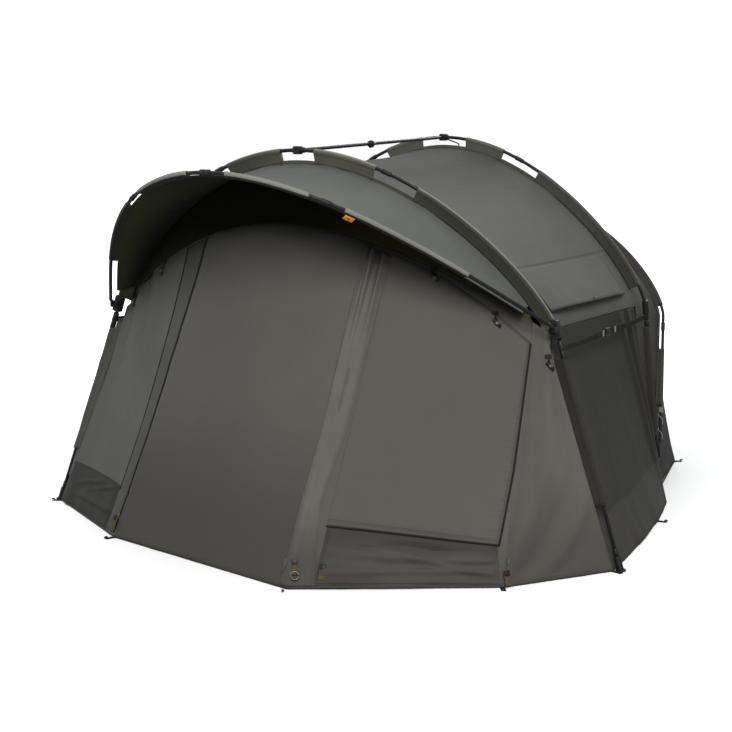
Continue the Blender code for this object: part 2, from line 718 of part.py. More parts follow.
def panel_lines(low_start, low_end, high_start, high_end, gaps):
    """Rows of points between two floor corners and two shares of the front edge, with a gap at each side."""
    shares = edge_shares(high_start, high_end)
    lines = []
    for k in range(PANEL_ROWS + 1):
        line = []
        for share in shares:
            low = blend(floor_spot(low_start), floor_spot(low_end), (share - high_start) / (high_end - high_start))
            line.append(blend(low, EDGE(share), k / PANEL_ROWS))
        width = (line[-1] - line[0]).length
        first, last = line[0], line[-1]
        line[0] = blend(first, last, gaps[0] / width)
        line[-1] = blend(last, first, gaps[1] / width)
        lines.append(line)
    return lines


DOOR_LINES = panel_lines(DOOR_LEFT, DOOR_RIGHT, *DOOR_TOP_SHARES, (SEAM_GAP, CORNER_GAP))
LEFT_LINES = panel_lines(LEFT_CORNER, DOOR_LEFT, 0.0, DOOR_TOP_SHARES[0], (SEAM_GAP, SEAM_GAP))
WINDOW_LINES = panel_lines(DOOR_RIGHT, WINDOW_RIGHT, DOOR_TOP_SHARES[1], WINDOW_TOP_SHARE, (CORNER_GAP, SEAM_GAP))
RIGHT_LINES = panel_lines(WINDOW_RIGHT, RIGHT_CORNER, WINDOW_TOP_SHARE, 1.0, (SEAM_GAP, SEAM_GAP))
sheet("left_panel", LEFT_LINES, "wall_cloth", CLOTH)
sheet("door", DOOR_LINES, "wall_cloth", CLOTH)
sheet("window_panel", WINDOW_LINES, "wall_cloth", CLOTH)
sheet("right_panel", RIGHT_LINES, "wall_cloth", CLOTH)
VALANCE_SHARES = edge_shares(VALANCE_END_SHARE, 1 - VALANCE_END_SHARE)
span("valance", [EDGE(share) for share in VALANCE_SHARES],
     [rail(FRONT_RIB, share, FRONT_WEB + VALANCE_DROP) for share in VALANCE_SHARES], 2, "dark_cloth", (EDGE_GAP, 0.0))


# Groundsheet
def groundsheet():
    """Flat sheet on the floor: a filled plan outline with a thickness."""
    plan = [LEFT_CORNER, DOOR_LEFT, DOOR_RIGHT, WINDOW_RIGHT, RIGHT_CORNER, *SIDE_BOW, SIDE_REAR, BACK_CORNER, BACK_MIDDLE]
    plan += [(-x, y) for x, y in (BACK_CORNER, SIDE_REAR, *reversed(SIDE_BOW))]
    curve = bpy.data.curves.new("groundsheet", "CURVE")
    curve.dimensions = "2D"
    curve.fill_mode = "BOTH"
    curve.extrude = SHEET / 2
    spline = curve.splines.new("POLY")
    spline.points.add(len(plan) - 1)
    spline.use_cyclic_u = True
    for k, (x, y) in enumerate(plan):
        p = spot(x, y, 0.0)
        spline.points[k].co = (p.x, p.y, 0.0, 1.0)
    add("groundsheet", baked(curve, UP * SHEET / 2), "floor_cloth")


groundsheet()


def side_normal(rows, i, j):
    """Outward direction of a lofted surface at one of its points."""
    a, b = rows[i][max(j - 1, 0)], rows[i][min(j + 1, len(rows[i]) - 1)]
    c, d = rows[max(i - 1, 0)][j], rows[min(i + 1, len(rows) - 1)][j]
    found = (b - a).cross(d - c).normalized()
    heart = Vector((0.0, 0.0, rows[i][j].z / 2))
    return found if found.dot(rows[i][j] - heart) > 0 else -found


# Storm flap over the zip between door and window panel
def storm_flap():
    near = [[blend(line[-1], line[-2], FLAP_SHARE) for line in DOOR_LINES], [line[-1] for line in DOOR_LINES]]
    far = [[line[0] for line in WINDOW_LINES], [blend(line[0], line[1], FLAP_SHARE) for line in WINDOW_LINES]]
    rows = []
    for k in range(PANEL_ROWS):
        door_out = side_normal(DOOR_LINES, k, len(DOOR_LINES[k]) - 1)
        window_out = side_normal(WINDOW_LINES, k, 0)
        middle = (door_out + window_out).normalized()
        ridge = (near[1][k] + far[0][k]) / 2
        rows.append([near[0][k] + door_out * FLAP_CLEAR, ridge + middle * FLAP_CLEAR / middle.dot(door_out),
                     far[1][k] + window_out * FLAP_CLEAR])
    sheet("storm_flap", rows, "wall_cloth", CLOTH, 1.0)


storm_flap()

# Vent cowls on both lower sides of the roof
COWLS = {}
for side, sign in SIDES:
    shares = stations_between(FRONT_RIB, *COWL_SHARES)
    if sign > 0:
        shares = [1 - share for share in shares]
    depths = [COWL_DEPTH_SHARES[0]] + [k / ROOF_ROWS for k in range(1, ROOF_ROWS)] + [COWL_DEPTH_SHARES[1]]
    fronts = inner(FRONT_RIB, shares, FRONT_WEB)
    rears = inner(REAR_RIB, shares, REAR_WEB)
    flat = [[blend(a, b, depth) for depth in depths] for a, b in zip(fronts, rears)]
    rows = []
    for i, line in enumerate(flat):
        lift = COWL_CLEAR + (COWL_STAND - COWL_CLEAR) * (len(flat) - 1 - i) / (len(flat) - 1)
        rows.append([p + side_normal(flat, i, j) * lift for j, p in enumerate(line)])
    COWLS[side] = (rows[-1][0], rows[-1][-1])
    sheet("vent_cowl_" + side, rows, "roof_cloth", CLOTH, 1.0)


# Ridge bar with its bracket and clip
FRONT_CROWN = rail(FRONT_RIB, 0.5)
REAR_CROWN = rail(REAR_RIB, 0.5)
BAR_START = FRONT_CROWN + FORTH * BAR_REACH
BAR_RUN = (REAR_CROWN - BAR_START).normalized()
BAR_END = REAR_CROWN - BAR_RUN * BAR_STOP
SLEEVE_BORE = JOINT_RADIUS + SLEEVE_PLAY + RUN_GAP


def sleeve_bore(centre):
    return round_mesh("bore", SLEEVE_BORE, BRACKET_WIDTH * 3, frame_of(ACROSS), centre, 24)


pivot_block("bar_bracket", FRONT_CROWN, LEVEL, (BRACKET_WIDTH, BRACKET_BACK, BRACKET_HEIGHT), BAR_START,
            BAR_PIVOT, (sleeve_bore(FRONT_CROWN),))
bar_joint = blend(BAR_START, BAR_END, BAR_JOINT_SHARE)
bar_points = [bar_joint + BAR_RUN * JOINT_LENGTH / 2 * place for place in SWELL_PLACES]
bar_points = [BAR_START + BAR_RUN * BAR_PIVOT["eye"] / 2, *bar_points, BAR_END]
bar = add("ridge_bar", tube_mesh("ridge_bar", bar_points, BAR_RADIUS, (2, 3)), "tube", True)
cut(bar, round_mesh("eye", BAR_PIVOT["eye"], BAR_PIVOT["width"], frame_of(ACROSS), BAR_START, 18), "bar_eye", "UNION")
cut(bar, round_mesh("hole", BAR_PIVOT["pin"] + PIN_PLAY, BRACKET_WIDTH * 2, frame_of(ACROSS), BAR_START, 24), "bar_hole")
clip_size = (CLIP_WIDTH, CLIP_ARM, BRACKET_HEIGHT)
clip_at = REAR_CROWN + FORTH * (BRACKET_BACK - CLIP_ARM / 2)
clip = add("bar_clip", block_mesh("bar_clip", clip_size, LEVEL, clip_at, BLOCK_ROUND), "block")
cut(clip, sleeve_bore(REAR_CROWN), "bar_clip_bore")
groove_end = BAR_END + BAR_RUN * RUN_GAP
groove_mid = groove_end - BAR_RUN * CLIP_ARM / 2
cut(clip, round_mesh("groove", BAR_RADIUS + RUN_GAP, CLIP_ARM, frame_of(BAR_RUN, ACROSS), groove_mid, 24), "bar_clip_groove")
mouth = ((BAR_RADIUS + RUN_GAP) * 2, CLIP_ARM, BRACKET_HEIGHT)
mouth_turn = frame_of(ACROSS.cross(BAR_RUN), FORTH)
cut(clip, block_mesh("mouth", mouth, mouth_turn, groove_mid + UP * BRACKET_HEIGHT / 2), "bar_clip_mouth")


# Side straps, each in two halves with a buckle between them
def strap_frame(run, sign):
    """Rotation with X along the strap, Y outward and Z up its width."""
    up = run.cross(ACROSS * sign)
    up = up if up.z > 0 else -up
    return Matrix((run, up.cross(run), up)).transposed().to_4x4()


def strap_end(foot, rib, height, sign):
    """Point of a leg at a height, and the leg's direction."""
    low, top = leg_line(foot, rib, sign)
    return blend(low, top, height / top.z), (top - low).normalized()


def strap_half(name, turn, first, last, loop_at, leg):
    """Flat band between two points, with a loop round a leg."""
    loop_far = TUBE_RADIUS + RUN_GAP + LOOP_THICK
    size = ((last - first).length, STRAP_THICK, STRAP_WIDTH)
    band = add(name, block_mesh(name, size, turn, blend(first, last, 0.5)), "strap")
    cut(band, round_mesh(name, loop_far, STRAP_WIDTH, frame_of(leg, ACROSS), loop_at, 20), name + "_loop", "UNION")
    hole = round_mesh(name, TUBE_RADIUS + RUN_GAP, STRAP_WIDTH * 2, frame_of(leg, ACROSS), loop_at, 20)
    cut(band, hole, name + "_bore")


def buckle_socket(name, turn, mouth, run):
    """Socket that ends at its mouth, with a slot for the strap and a cavity for the prongs."""
    size = (SOCKET_LENGTH, BUCKLE_THICK, BUCKLE_WIDTH)
    socket = add(name, block_mesh(name, size, turn, mouth - run * SOCKET_LENGTH / 2, BLOCK_ROUND), "block")
    slot = (STRAP_SEAT * 2, STRAP_THICK + BUCKLE_PLAY * 2, STRAP_WIDTH + BUCKLE_PLAY * 2)
    cut(socket, block_mesh(name, slot, turn, mouth - run * SOCKET_LENGTH), name + "_slot")
    cavity = (PRONG_LENGTH * 2, PRONG_THICK + BUCKLE_PLAY * 2, (PRONG_PLACE + BUCKLE_PLAY) * 2 + PRONG_WIDTH)
    cut(socket, block_mesh(name, cavity, turn, mouth), name + "_cavity")


def buckle_plug(name, turn, mouth, run):
    """Plug with two prongs in the socket and a channel in which the strap slides."""
    at = mouth + run * (PLUG_LENGTH / 2 + BUCKLE_PLAY)
    size = (PLUG_LENGTH, BUCKLE_THICK, BUCKLE_WIDTH)
    plug = add(name, block_mesh(name, size, turn, at, BLOCK_ROUND), "block")
    root = PLUG_LENGTH / 4
    for k, place in enumerate((-PRONG_PLACE, PRONG_PLACE)):
        prong_at = mouth + run * (BUCKLE_PLAY + (root - PRONG_LENGTH) / 2) + turn.to_3x3() @ UP * place
        prong = block_mesh(name, (PRONG_LENGTH + root, PRONG_THICK, PRONG_WIDTH), turn, prong_at)
        cut(plug, prong, name + "_prong_" + str(k), "UNION")
    channel = (PLUG_LENGTH * 2, STRAP_THICK + BUCKLE_PLAY * 2, STRAP_WIDTH + BUCKLE_PLAY * 2)
    cut(plug, block_mesh(name, channel, turn, at), name + "_channel")


STRAPS = {}
for side, sign in SIDES:
    start, start_leg = strap_end(FRONT_FOOT, FRONT_RIB, STRAP_HEIGHTS[0], sign)
    end, end_leg = strap_end(REAR_FOOT, REAR_RIB, STRAP_HEIGHTS[1], sign)
    STRAPS[side] = (start, end)
    run = (end - start).normalized()
    turn = strap_frame(run, sign)
    mouth = blend(start, end, BUCKLE_SHARE)
    loop_middle = run * (TUBE_RADIUS + RUN_GAP + LOOP_THICK / 2)
    socket_seat = mouth - run * (SOCKET_LENGTH - STRAP_SEAT + BUCKLE_PLAY)
    plug_seat = mouth + run * (BUCKLE_PLAY + PLUG_LENGTH / 4)
    strap_half("strap_front_" + side, turn, start + loop_middle, socket_seat, start, start_leg)
    strap_half("strap_rear_" + side, turn, plug_seat, end - loop_middle, end, end_leg)
    buckle_socket("buckle_socket_" + side, turn, mouth, run)
    buckle_plug("buckle_plug_" + side, turn, mouth, run)


# Zip sliders
ZIP_LINES = {}


def zip_slider(name, lines, column, toward, stand):
    """Slider with a hanging puller, beside one column of a panel and free to run straight up it."""
    ends = []
    for row in (0, PANEL_ROWS):
        out = side_normal(lines, row, column)
        aside = (lines[row][column + toward] - lines[row][column]).normalized()
        ends.append((lines[row][column] + aside * ZIP_ASIDE + out * (stand + ZIP_BODY[1] / 2), out))
    (low, low_out), (high, high_out) = ends
    along = (high - low).normalized()
    out = (low_out + high_out).normalized()
    out = (out - along * out.dot(along)).normalized()
    body = low + along * ZIP_HEIGHT / along.z
    turn = Matrix((out.cross(along), out, along)).transposed().to_4x4()
    thing = add(name, block_mesh(name, ZIP_BODY, turn, body), "block")
    ZIP_LINES[name] = (body, along)
    pull = body + out * (ZIP_BODY[1] / 2) - along * (ZIP_PULL[2] / 2)
    cut(thing, block_mesh(name, ZIP_PULL, turn, pull), name + "_pull", "UNION")


zip_slider("zip_slider_left", LEFT_LINES, len(LEFT_LINES[0]) - 1, -1, ZIP_STANDS[0])
zip_slider("zip_slider_door", DOOR_LINES, len(DOOR_LINES[0]) - 2, -1, ZIP_STANDS[1])
zip_slider("zip_slider_window", RIGHT_LINES, 0, 1, ZIP_STANDS[2])

# Tab on the front of the hood rib's web
tab_along = (rail(HOOD_RIB, TAB_SHARE + NOTCH_STEP) - rail(HOOD_RIB, TAB_SHARE - NOTCH_STEP)).normalized()
tab_down = (rail(HOOD_RIB, TAB_SHARE, HOOD_WEB) - rail(HOOD_RIB, TAB_SHARE)).normalized()
tab_front = tab_along.cross(tab_down)
tab_front = tab_front if tab_front.y < 0 else -tab_front
tab_at = rail(HOOD_RIB, TAB_SHARE, TUBE_RADIUS + TAB_DROP / 2) + tab_front * (STIFF_CLOTH / 2 + RUN_GAP + TAB_THICK / 2)
tab_turn = Matrix((tab_along, tab_front, tab_down)).transposed().to_4x4()
add("rib_tab", block_mesh("rib_tab", (TAB_WIDTH, TAB_THICK, TAB_DROP), tab_turn, tab_at), "tab")
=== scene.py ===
"""Looks of a two-person bivvy tent: bent black ribs, taut olive-grey cloth, zips, straps and hardware."""
import math

import bmesh
import bpy
import numpy as np
from mathutils import Matrix, Vector


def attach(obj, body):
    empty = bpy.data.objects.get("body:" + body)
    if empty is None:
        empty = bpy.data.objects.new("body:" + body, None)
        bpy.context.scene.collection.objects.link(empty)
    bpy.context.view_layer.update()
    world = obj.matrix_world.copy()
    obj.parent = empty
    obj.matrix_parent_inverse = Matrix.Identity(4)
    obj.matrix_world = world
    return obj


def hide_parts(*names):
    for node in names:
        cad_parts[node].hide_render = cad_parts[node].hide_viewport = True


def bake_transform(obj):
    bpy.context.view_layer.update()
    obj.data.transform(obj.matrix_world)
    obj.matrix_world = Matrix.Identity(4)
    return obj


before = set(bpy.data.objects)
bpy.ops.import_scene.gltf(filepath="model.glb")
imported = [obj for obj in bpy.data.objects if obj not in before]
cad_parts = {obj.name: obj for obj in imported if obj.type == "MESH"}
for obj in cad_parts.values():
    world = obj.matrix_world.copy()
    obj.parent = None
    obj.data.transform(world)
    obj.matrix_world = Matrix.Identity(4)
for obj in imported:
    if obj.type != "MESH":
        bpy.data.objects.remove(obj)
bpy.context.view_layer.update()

# Places and sizes of the ribs and the cloth, in metres; y is counted from the front ribs
CENTRE_Y = -0.6643
FRONT_HALF, FRONT_HEIGHT = 1.082, 0.957
REAR_HALF, REAR_Y, REAR_HEIGHT = 1.037, 1.376, 0.907
LOW_BLOCK_HEIGHT = 0.190
FRONT_WEB, REAR_WEB, HOOD_WEB, BACK_WEB = 0.058, 0.052, 0.030, 0.030
HEM, SHEET_HEIGHT = 0.0045, 0.0028
TUBE, BAR_TUBE, JOINT, JOINT_LENGTH = 0.0080, 0.0075, 0.0105, 0.042
CLOTH, THIN_CLOTH, PATCH, WEBBING = 0.0012, 0.0008, 0.0006, 0.0018
FRONT_FOOT, REAR_FOOT = (1.400, -0.073), (1.105, 1.473)
LEG_TOP = (1.046, 0.004, 0.900)
LEFT_CORNER, DOOR_LEFT, DOOR_RIGHT = (-1.378, -0.100), (-0.740, -0.563), (0.324, -0.914)
WINDOW_RIGHT, RIGHT_CORNER = (1.065, -0.518), (1.378, -0.100)
SIDE_LINE = ((1.3777, -0.0976), (1.346, 0.357), (1.299, 0.784), (1.236, 1.142), (1.119, 1.436))
BACK_LINE = ((1.090, 1.500), (1.003, 2.096), (0.0, 2.190))

# Shares of a rib's length, or of the line along the tops of the front panels, from the left end
DOOR_TOP, WINDOW_TOP = (0.375, 0.663), 0.950
FRONT_BARE = ((0.296, 0.368), (0.471, 0.529), (0.632, 0.704))
REAR_BARE = ((0.307, 0.382), (0.456, 0.544), (0.618, 0.693))
HOOD_BARE = ((0.326, 0.372), (0.474, 0.526), (0.628, 0.674))
BACK_BARE = ((0.140, 0.205), (0.474, 0.526), (0.795, 0.860))
ROOF_SPAN, HOOD_SPAN, BACK_SPAN = (0.002, 0.998), (0.052, 0.948), (0.006, 0.994)
BACK_CORNER_SHARE, BACK_PEG_SHARE = 0.184, 0.196
BAY_START = 0.190
RIB_JOINTS, BACK_JOINTS = (0.35, 0.65), (0.172, 0.828)

SIDES = (("left", -1), ("right", 1))
HEART, LOW_HEART, ROOF_HEART = (0.0, 0.2, 0.5), (0.0, 0.2, 0.4), (0.0, 0.0, 0.9)
ACROSS, UP = 0, 1


# Lines and grids of points
def unit(x):
    return x / np.maximum(np.linalg.norm(x, axis=-1, keepdims=True), 1e-12)


def lengths_along(points):
    """Length of a polyline up to each of its points."""
    return np.concatenate([[0.0], np.cumsum(np.linalg.norm(np.diff(points, axis=0), axis=1))])


def at(points, shares):
    """Points of a polyline at shares of its length."""
    points = np.asarray(points, float)
    run = lengths_along(points)
    goal = np.clip(np.asarray(shares, float), 0, 1) * run[-1]
    return np.stack([np.interp(goal, run, points[:, k]) for k in range(points.shape[1])], -1)


def spot_at(x, y, z):
    return np.array([x, y + CENTRE_Y, z])


def floor_at(corner, z=HEM):
    return spot_at(*corner, z)


def mirror(corner):
    return -corner[0], corner[1]


def line_point(low, high, height):
    """Points of a straight line at the heights given."""
    return low + (high - low) * ((np.asarray(height) - low[2]) / (high[2] - low[2]))[..., None]


def ruled(low, high, rows):
    """Straight lines from one row of points to another, as a grid of points."""
    v = np.linspace(0, 1, rows)[:, None, None]
    return low[None] * (1 - v) + high[None] * v


class Rib:
    """Arched tube in a tilted plane, read by share of its length from the left end."""

    def __init__(self, half, y, z, rise, low, top, tilt, lean, foot_half=None, leg=0.0, stub=0.040):
        lean = math.radians(lean)
        a = np.array([half, leg])
        b = np.array([half - low * math.sin(lean), leg + low * math.cos(lean)])
        c = np.array([top, leg + rise])
        d = np.array([0.0, leg + rise])
        t = np.linspace(0, 1, 121)[:, None]
        r = 1 - t
        curve = a * r ** 3 + b * 3 * r * r * t + c * 3 * r * t * t + d * t ** 3
        if leg > stub:
            curve = np.vstack([[[foot_half, stub]], curve])
        if leg:
            curve = np.vstack([[[foot_half, 0.0]], curve])
        self.flat = np.vstack([curve * [-1, 1], curve[::-1][1:]])
        self.run = lengths_along(self.flat)
        self.length = self.run[-1]
        along = unit(np.diff(self.flat, axis=0))
        self.along = unit(np.vstack([along[:1], (along[:-1] + along[1:]) / 2, along[-1:]]))
        self.y, self.z, self.tilt = y, z, math.radians(tilt)
        self.side = np.array([0.0, math.cos(self.tilt), math.sin(self.tilt)])

    def __call__(self, shares, inward=0.0, aside=0.0):
        goal = np.asarray(shares, float) * self.length
        p = np.stack([np.interp(goal, self.run, self.flat[:, k]) for k in (0, 1)], -1)
        t = np.stack([np.interp(goal, self.run, self.along[:, k]) for k in (0, 1)], -1)
        p = p + np.stack([t[..., 1], -t[..., 0]], -1) * np.asarray(inward)[..., None]
        back, high = -math.sin(self.tilt), math.cos(self.tilt)
        spot = np.stack([p[..., 0], self.y + CENTRE_Y + p[..., 1] * back, self.z + p[..., 1] * high], -1)
        return spot + self.side * np.asarray(aside)[..., None]


FRONT = Rib(FRONT_HALF, 0.0, FRONT_HEIGHT, rise=0.756, low=0.249, top=0.533, tilt=17.2, lean=17.6)
REAR = Rib(REAR_HALF, REAR_Y, REAR_HEIGHT, rise=0.818, low=0.194, top=0.539, tilt=6.1, lean=4.3)
HOOD = Rib(FRONT_HALF, -0.038, FRONT_HEIGHT, rise=1.077, low=0.470, top=0.484, tilt=54.5, lean=31.1,
           foot_half=FRONT_HALF, leg=0.040)
BACK_HALF = REAR_HALF + (REAR_FOOT[0] - REAR_HALF) * (1 - LOW_BLOCK_HEIGHT / REAR_HEIGHT)
BACK = Rib(BACK_HALF - 0.116, 1.482, LOW_BLOCK_HEIGHT, rise=0.675, low=0.200, top=0.500, tilt=-34.0,
           lean=15.0, foot_half=BACK_HALF, leg=0.745)
TOP_EDGE = Rib(1.050, 0.020, 0.935, rise=0.600, low=0.450, top=0.370, tilt=42.0, lean=42.0)
EAVES = {sign: spot_at(sign * LEG_TOP[0], *LEG_TOP[1:]) for _, sign in SIDES}
EDGE = np.vstack([EAVES[-1], TOP_EDGE(np.linspace(0, 1, 161)), EAVES[1]])
LEGS = {}
for side, sign in SIDES:
    LEGS["front_" + side] = (floor_at((sign * FRONT_FOOT[0], FRONT_FOOT[1]), 0.0),
                             spot_at(sign * FRONT_HALF, 0.0, FRONT_HEIGHT))
    LEGS["rear_" + side] = (floor_at((sign * REAR_FOOT[0], REAR_FOOT[1]), 0.0),
                            spot_at(sign * REAR_HALF, REAR_Y, REAR_HEIGHT))


# Wrinkles and small shapes as heights over a grid of shares
def shares_of(grid):
    rows, wide = grid.shape[:2]
    return np.meshgrid(np.linspace(0, 1, wide), np.linspace(0, 1, rows))


def noise(u, v, across, along, seed):
    """Smooth random heights from -1 to 1 on a lattice of the given counts."""
    table = np.random.default_rng(seed).uniform(-1, 1, (along + 2, across + 2))
    x, y = u * across, v * along
    i, j = np.clip(x.astype(int), 0, across), np.clip(y.astype(int), 0, along)
    a, b = x - i, y - j
    a, b = a * a * (3 - 2 * a), b * b * (3 - 2 * b)
    low = table[j, i] * (1 - a) + table[j, i + 1] * a
    high = table[j + 1, i] * (1 - a) + table[j + 1, i + 1] * a
    return low * (1 - b) + high * b


def hump(x, centre, width):
    return np.exp(-((x - centre) / width) ** 2)


def smooth(x, low, high):
    t = np.clip((x - low) / (high - low), 0, 1)
    return t * t * (3 - 2 * t)


def arch(x):
    """0 at both ends and 1 in the middle."""
    return 4 * x * (1 - x)


def end_share(x):
    """Share from the nearer end."""
    return np.minimum(x, 1 - x)


def inside_ends(x, slope):
    """Rises from 0 at both ends to 1."""
    return np.minimum(slope * end_share(x), 1)


def normals(grid, heart):
    """Directions out of a grid, away from the point given, and whether its faces had to be turned."""
    across, along = np.gradient(grid, axis=1), np.gradient(grid, axis=0)
    found = unit(np.cross(across, along))
    turned = (found * (grid - np.asarray(heart))).sum() < 0
    return (-found if turned else found), turned


def raised(grid, height, heart=HEART):
    return grid + normals(grid, heart)[0] * height[..., None]


# Materials
class Value:
    """Number or colour that varies over a surface. Sums and products of values become nodes."""

    def __init__(self, nodes, socket):
        self.nodes, self.socket = nodes, socket

    def maths(self, operation, *others):
        return self.nodes.add("ShaderNodeMath", dict(enumerate((self, *others))), operation=operation)

    def __add__(self, other):
        return self.maths("ADD", other)

    def __sub__(self, other):
        return self.maths("SUBTRACT", other)

    def __mul__(self, other):
        return self.maths("MULTIPLY", other)

    def __abs__(self):
        return self.maths("ABSOLUTE")

    def ramp(self, low, high, start=0.0, end=1.0):
        """Smooth step from start to end between two values."""
        values = {"Value": self, "From Min": low, "From Max": high, "To Min": start, "To Max": end}
        return self.nodes.add("ShaderNodeMapRange", values, interpolation_type="SMOOTHSTEP")

    def stripes(self, pace, edge):
        """Stripes along the value, 6.28 / pace apart, with edges as soft as the edge is large."""
        return (self * pace).maths("SINE").ramp(-edge, edge)


class Nodes:
    """Node tree of a material or a world."""

    def __init__(self, owner):
        owner.use_nodes = True
        self.tree = owner.node_tree

    def put(self, value, socket):
        if isinstance(value, Value):
            self.tree.links.new(value.socket, socket)
        else:
            socket.default_value = (*value, 1.0) if socket.type == "RGBA" else value

    def add(self, kind, values=(), output=0, **settings):
        made = self.tree.nodes.new(kind)
        for key, value in settings.items():
            setattr(made, key, value)
        for key, value in dict(values).items():
            self.put(value, made.inputs[key])
        return Value(self, made.outputs[output])

    def parts(self, vector):
        """The x, y and z of a vector."""
        made = self.tree.nodes.new("ShaderNodeSeparateXYZ")
        self.put(vector, made.inputs[0])
        return [Value(self, found) for found in made.outputs]

    def place(self):
        return self.add("ShaderNodeTexCoord", output="Object")

    def shown(self):
        """1 for what the camera sees directly, 0 for reflections and light."""
        return self.add("ShaderNodeLightPath", output="Is Camera Ray")

    def noise(self, place, scale, detail, rough=0.5):
        values = {"Vector": place, "Scale": scale, "Detail": detail, "Roughness": rough}
        return self.add("ShaderNodeTexNoise", values)

    def mix(self, share, first, second):
        return self.add("ShaderNodeMix", {0: share, 6: first, 7: second}, output=2, data_type="RGBA")


class Surface(Nodes):
    """Nodes of a material, with the mesh's two maps: metres along it and shares of it."""

    def __init__(self, name):
        self.material = bpy.data.materials.new(name)
        super().__init__(self.material)
        self.shader = self.tree.nodes["Principled BSDF"]

    def map(self, name):
        return self.add("ShaderNodeUVMap", uv_map=name)

    def finish(self, tone, rough, gloss, relief, strength, depth, **more):
        bump = self.add("ShaderNodeBump", {"Height": relief, "Strength": strength, "Distance": depth})
        values = {"Base Color": tone, "Roughness": rough, "Specular IOR Level": gloss, "Normal": bump, **more}
        for key, value in values.items():
            self.put(value, self.shader.inputs[key])
        return self.material


def shaded(colour, amount):
    return tuple(c * amount for c in colour)


RIPSTOP_PACE = 125.0
STITCH_PACE, STITCH_ROW, STITCH_NEAR, STITCH_FAR = 1100.0, 0.0055, 0.0004, 0.0012
SEAM_RIDGE = 0.009


def fabric(name, colour, seams=(), rough=0.82, fade=0.10, low_darkening=0.0, zones=(), gloss=0.16):
    """Coated woven cloth. A seam is (axis, share, size in metres, half width, darkness), its dark line
    painted shade where the layers overlap, and a zone is (axis, start, end, amount, level): past it the cloth
    is painted lighter or darker."""
    made = Surface(name)
    metres, place = made.map("metres"), made.place()
    share, lengths = made.parts(made.map("share")), made.parts(metres)
    clouds = made.noise(place, 2.3, 4.0, 0.6)
    long = made.add("ShaderNodeMapping", {"Vector": metres, "Scale": (5.0, 1.4, 1.0)})
    streaks = made.noise(long, 1.0, 3.0, 0.55)
    specks = made.noise(metres, 420.0, 2.0)
    threads = [abs((lengths[axis] * RIPSTOP_PACE).maths("FRACT") - 0.5) for axis in (ACROSS, UP)]
    ripstop = threads[0].ramp(0.0, 0.13, 1.0, 0.0).maths("MAXIMUM", threads[1].ramp(0.0, 0.13, 1.0, 0.0))
    tone = made.mix(clouds.ramp(0.3, 0.7), shaded(colour, 1 - fade), shaded(colour, 1 + fade))
    tone = made.mix(streaks.ramp(0.35, 0.75, 0.0, 0.35), tone, shaded(colour, 1 + fade * 1.6))
    tone = made.mix(specks * 0.22, tone, shaded(colour, 0.55))
    tone = made.mix(ripstop * 0.10, tone, shaded(colour, 1.5))
    # darker towards the bottom of the object
    if low_darkening:
        height = made.parts(place)[2] + clouds * 0.10
        tone = made.mix(height.ramp(0.05, 0.26, low_darkening, 0.0), tone, shaded(colour, 0.45))
    relief = specks * 0.35 + ripstop * 0.25 + streaks * 2.2
    for axis, where, size, half, dark in seams:
        away = abs(share[axis] - where) * size
        line = away.ramp(half * 0.35, half, 1.0, 0.0)
        ridge = away.ramp(half, half + SEAM_RIDGE, 1.0, 0.0)
        row = abs(away - (half + STITCH_ROW)).ramp(STITCH_NEAR, STITCH_FAR, 1.0, 0.0)
        # the seam's dark line is painted shade where its layers overlap
        tone = made.mix(line * dark, tone, shaded(colour, 0.18))
        tone = made.mix(row * lengths[1 - axis].stripes(STITCH_PACE, 0.2) * 0.5, tone, shaded(colour, 0.35))
        relief = relief + (ridge - line) * 1.8
    for axis, start, end, amount, level in zones:
        here = share[axis] + (clouds - 0.5) * 0.06
        amounts = (0.0, amount) if start < end else (amount, 0.0)
        tone = made.mix(here.ramp(*sorted((start, end)), *amounts), tone, shaded(colour, level))
    dull = clouds.ramp(0.2, 0.8, rough - 0.05, min(rough + 0.08, 1.0))
    return made.finish(tone, dull, gloss, relief, 0.55, 0.0012, **{"Sheen Weight": 0.03})


def hard(name, colour, rough, metallic=0.0, wear=0.35, scale=60.0):
    """Painted metal or plastic with fine scratches, scuffs and dust."""
    made = Surface(name)
    place = made.place()
    dust = made.noise(place, scale * 0.2, 5.0, 0.7)
    fine = made.noise(place, scale * 9, 3.0)
    scuffs = made.add("ShaderNodeTexVoronoi", {"Vector": place, "Scale": scale}, feature="DISTANCE_TO_EDGE")
    tone = made.mix(dust.ramp(0.45, 0.8, 0.0, wear), colour, shaded(colour, 2.6))
    tone = made.mix(scuffs.ramp(0.0, 0.03, wear * 0.5, 0.0), tone, shaded(colour, 3.4))
    return made.finish(tone, fine.ramp(0.3, 0.7, rough - 0.07, rough + 0.10), 0.25, fine, 0.25, 0.0004,
                       Metallic=metallic)


def zip_look(name, tape, teeth):
    """Zip tape with a coil of teeth along its middle."""
    made = Surface(name)
    metres = made.map("metres")
    middle = abs(made.parts(made.map("share"))[ACROSS] - 0.5).ramp(0.13, 0.20, 1.0, 0.0)
    coil = made.parts(metres)[UP].stripes(1700.0, 0.4)
    weave = made.noise(metres, 700.0, 2.0)
    tone = made.mix(weave, shaded(tape, 0.7), shaded(tape, 1.4))
    tone = made.mix(middle, tone, made.mix(coil, shaded(teeth, 0.25), teeth))
    return made.finish(tone, 0.55, 0.15, middle * (coil + 1.0) + weave * 0.3, 0.7, 0.0009)


def webbing(name, colour):
    """Woven strap with ribs across its length."""
    made = Surface(name)
    metres = made.map("metres")
    lengths = made.parts(metres)
    weave = lengths[UP].stripes(2600.0, 1.0) * lengths[ACROSS].stripes(1900.0, 1.0)
    fuzz = made.noise(metres, 160.0, 4.0)
    tone = made.mix(weave, shaded(colour, 0.6), shaded(colour, 1.5))
    tone = made.mix(fuzz.ramp(0.4, 0.8, 0.0, 0.4), tone, shaded(colour, 2.0))
    return made.finish(tone, 0.75, 0.15, weave, 0.5, 0.0008)


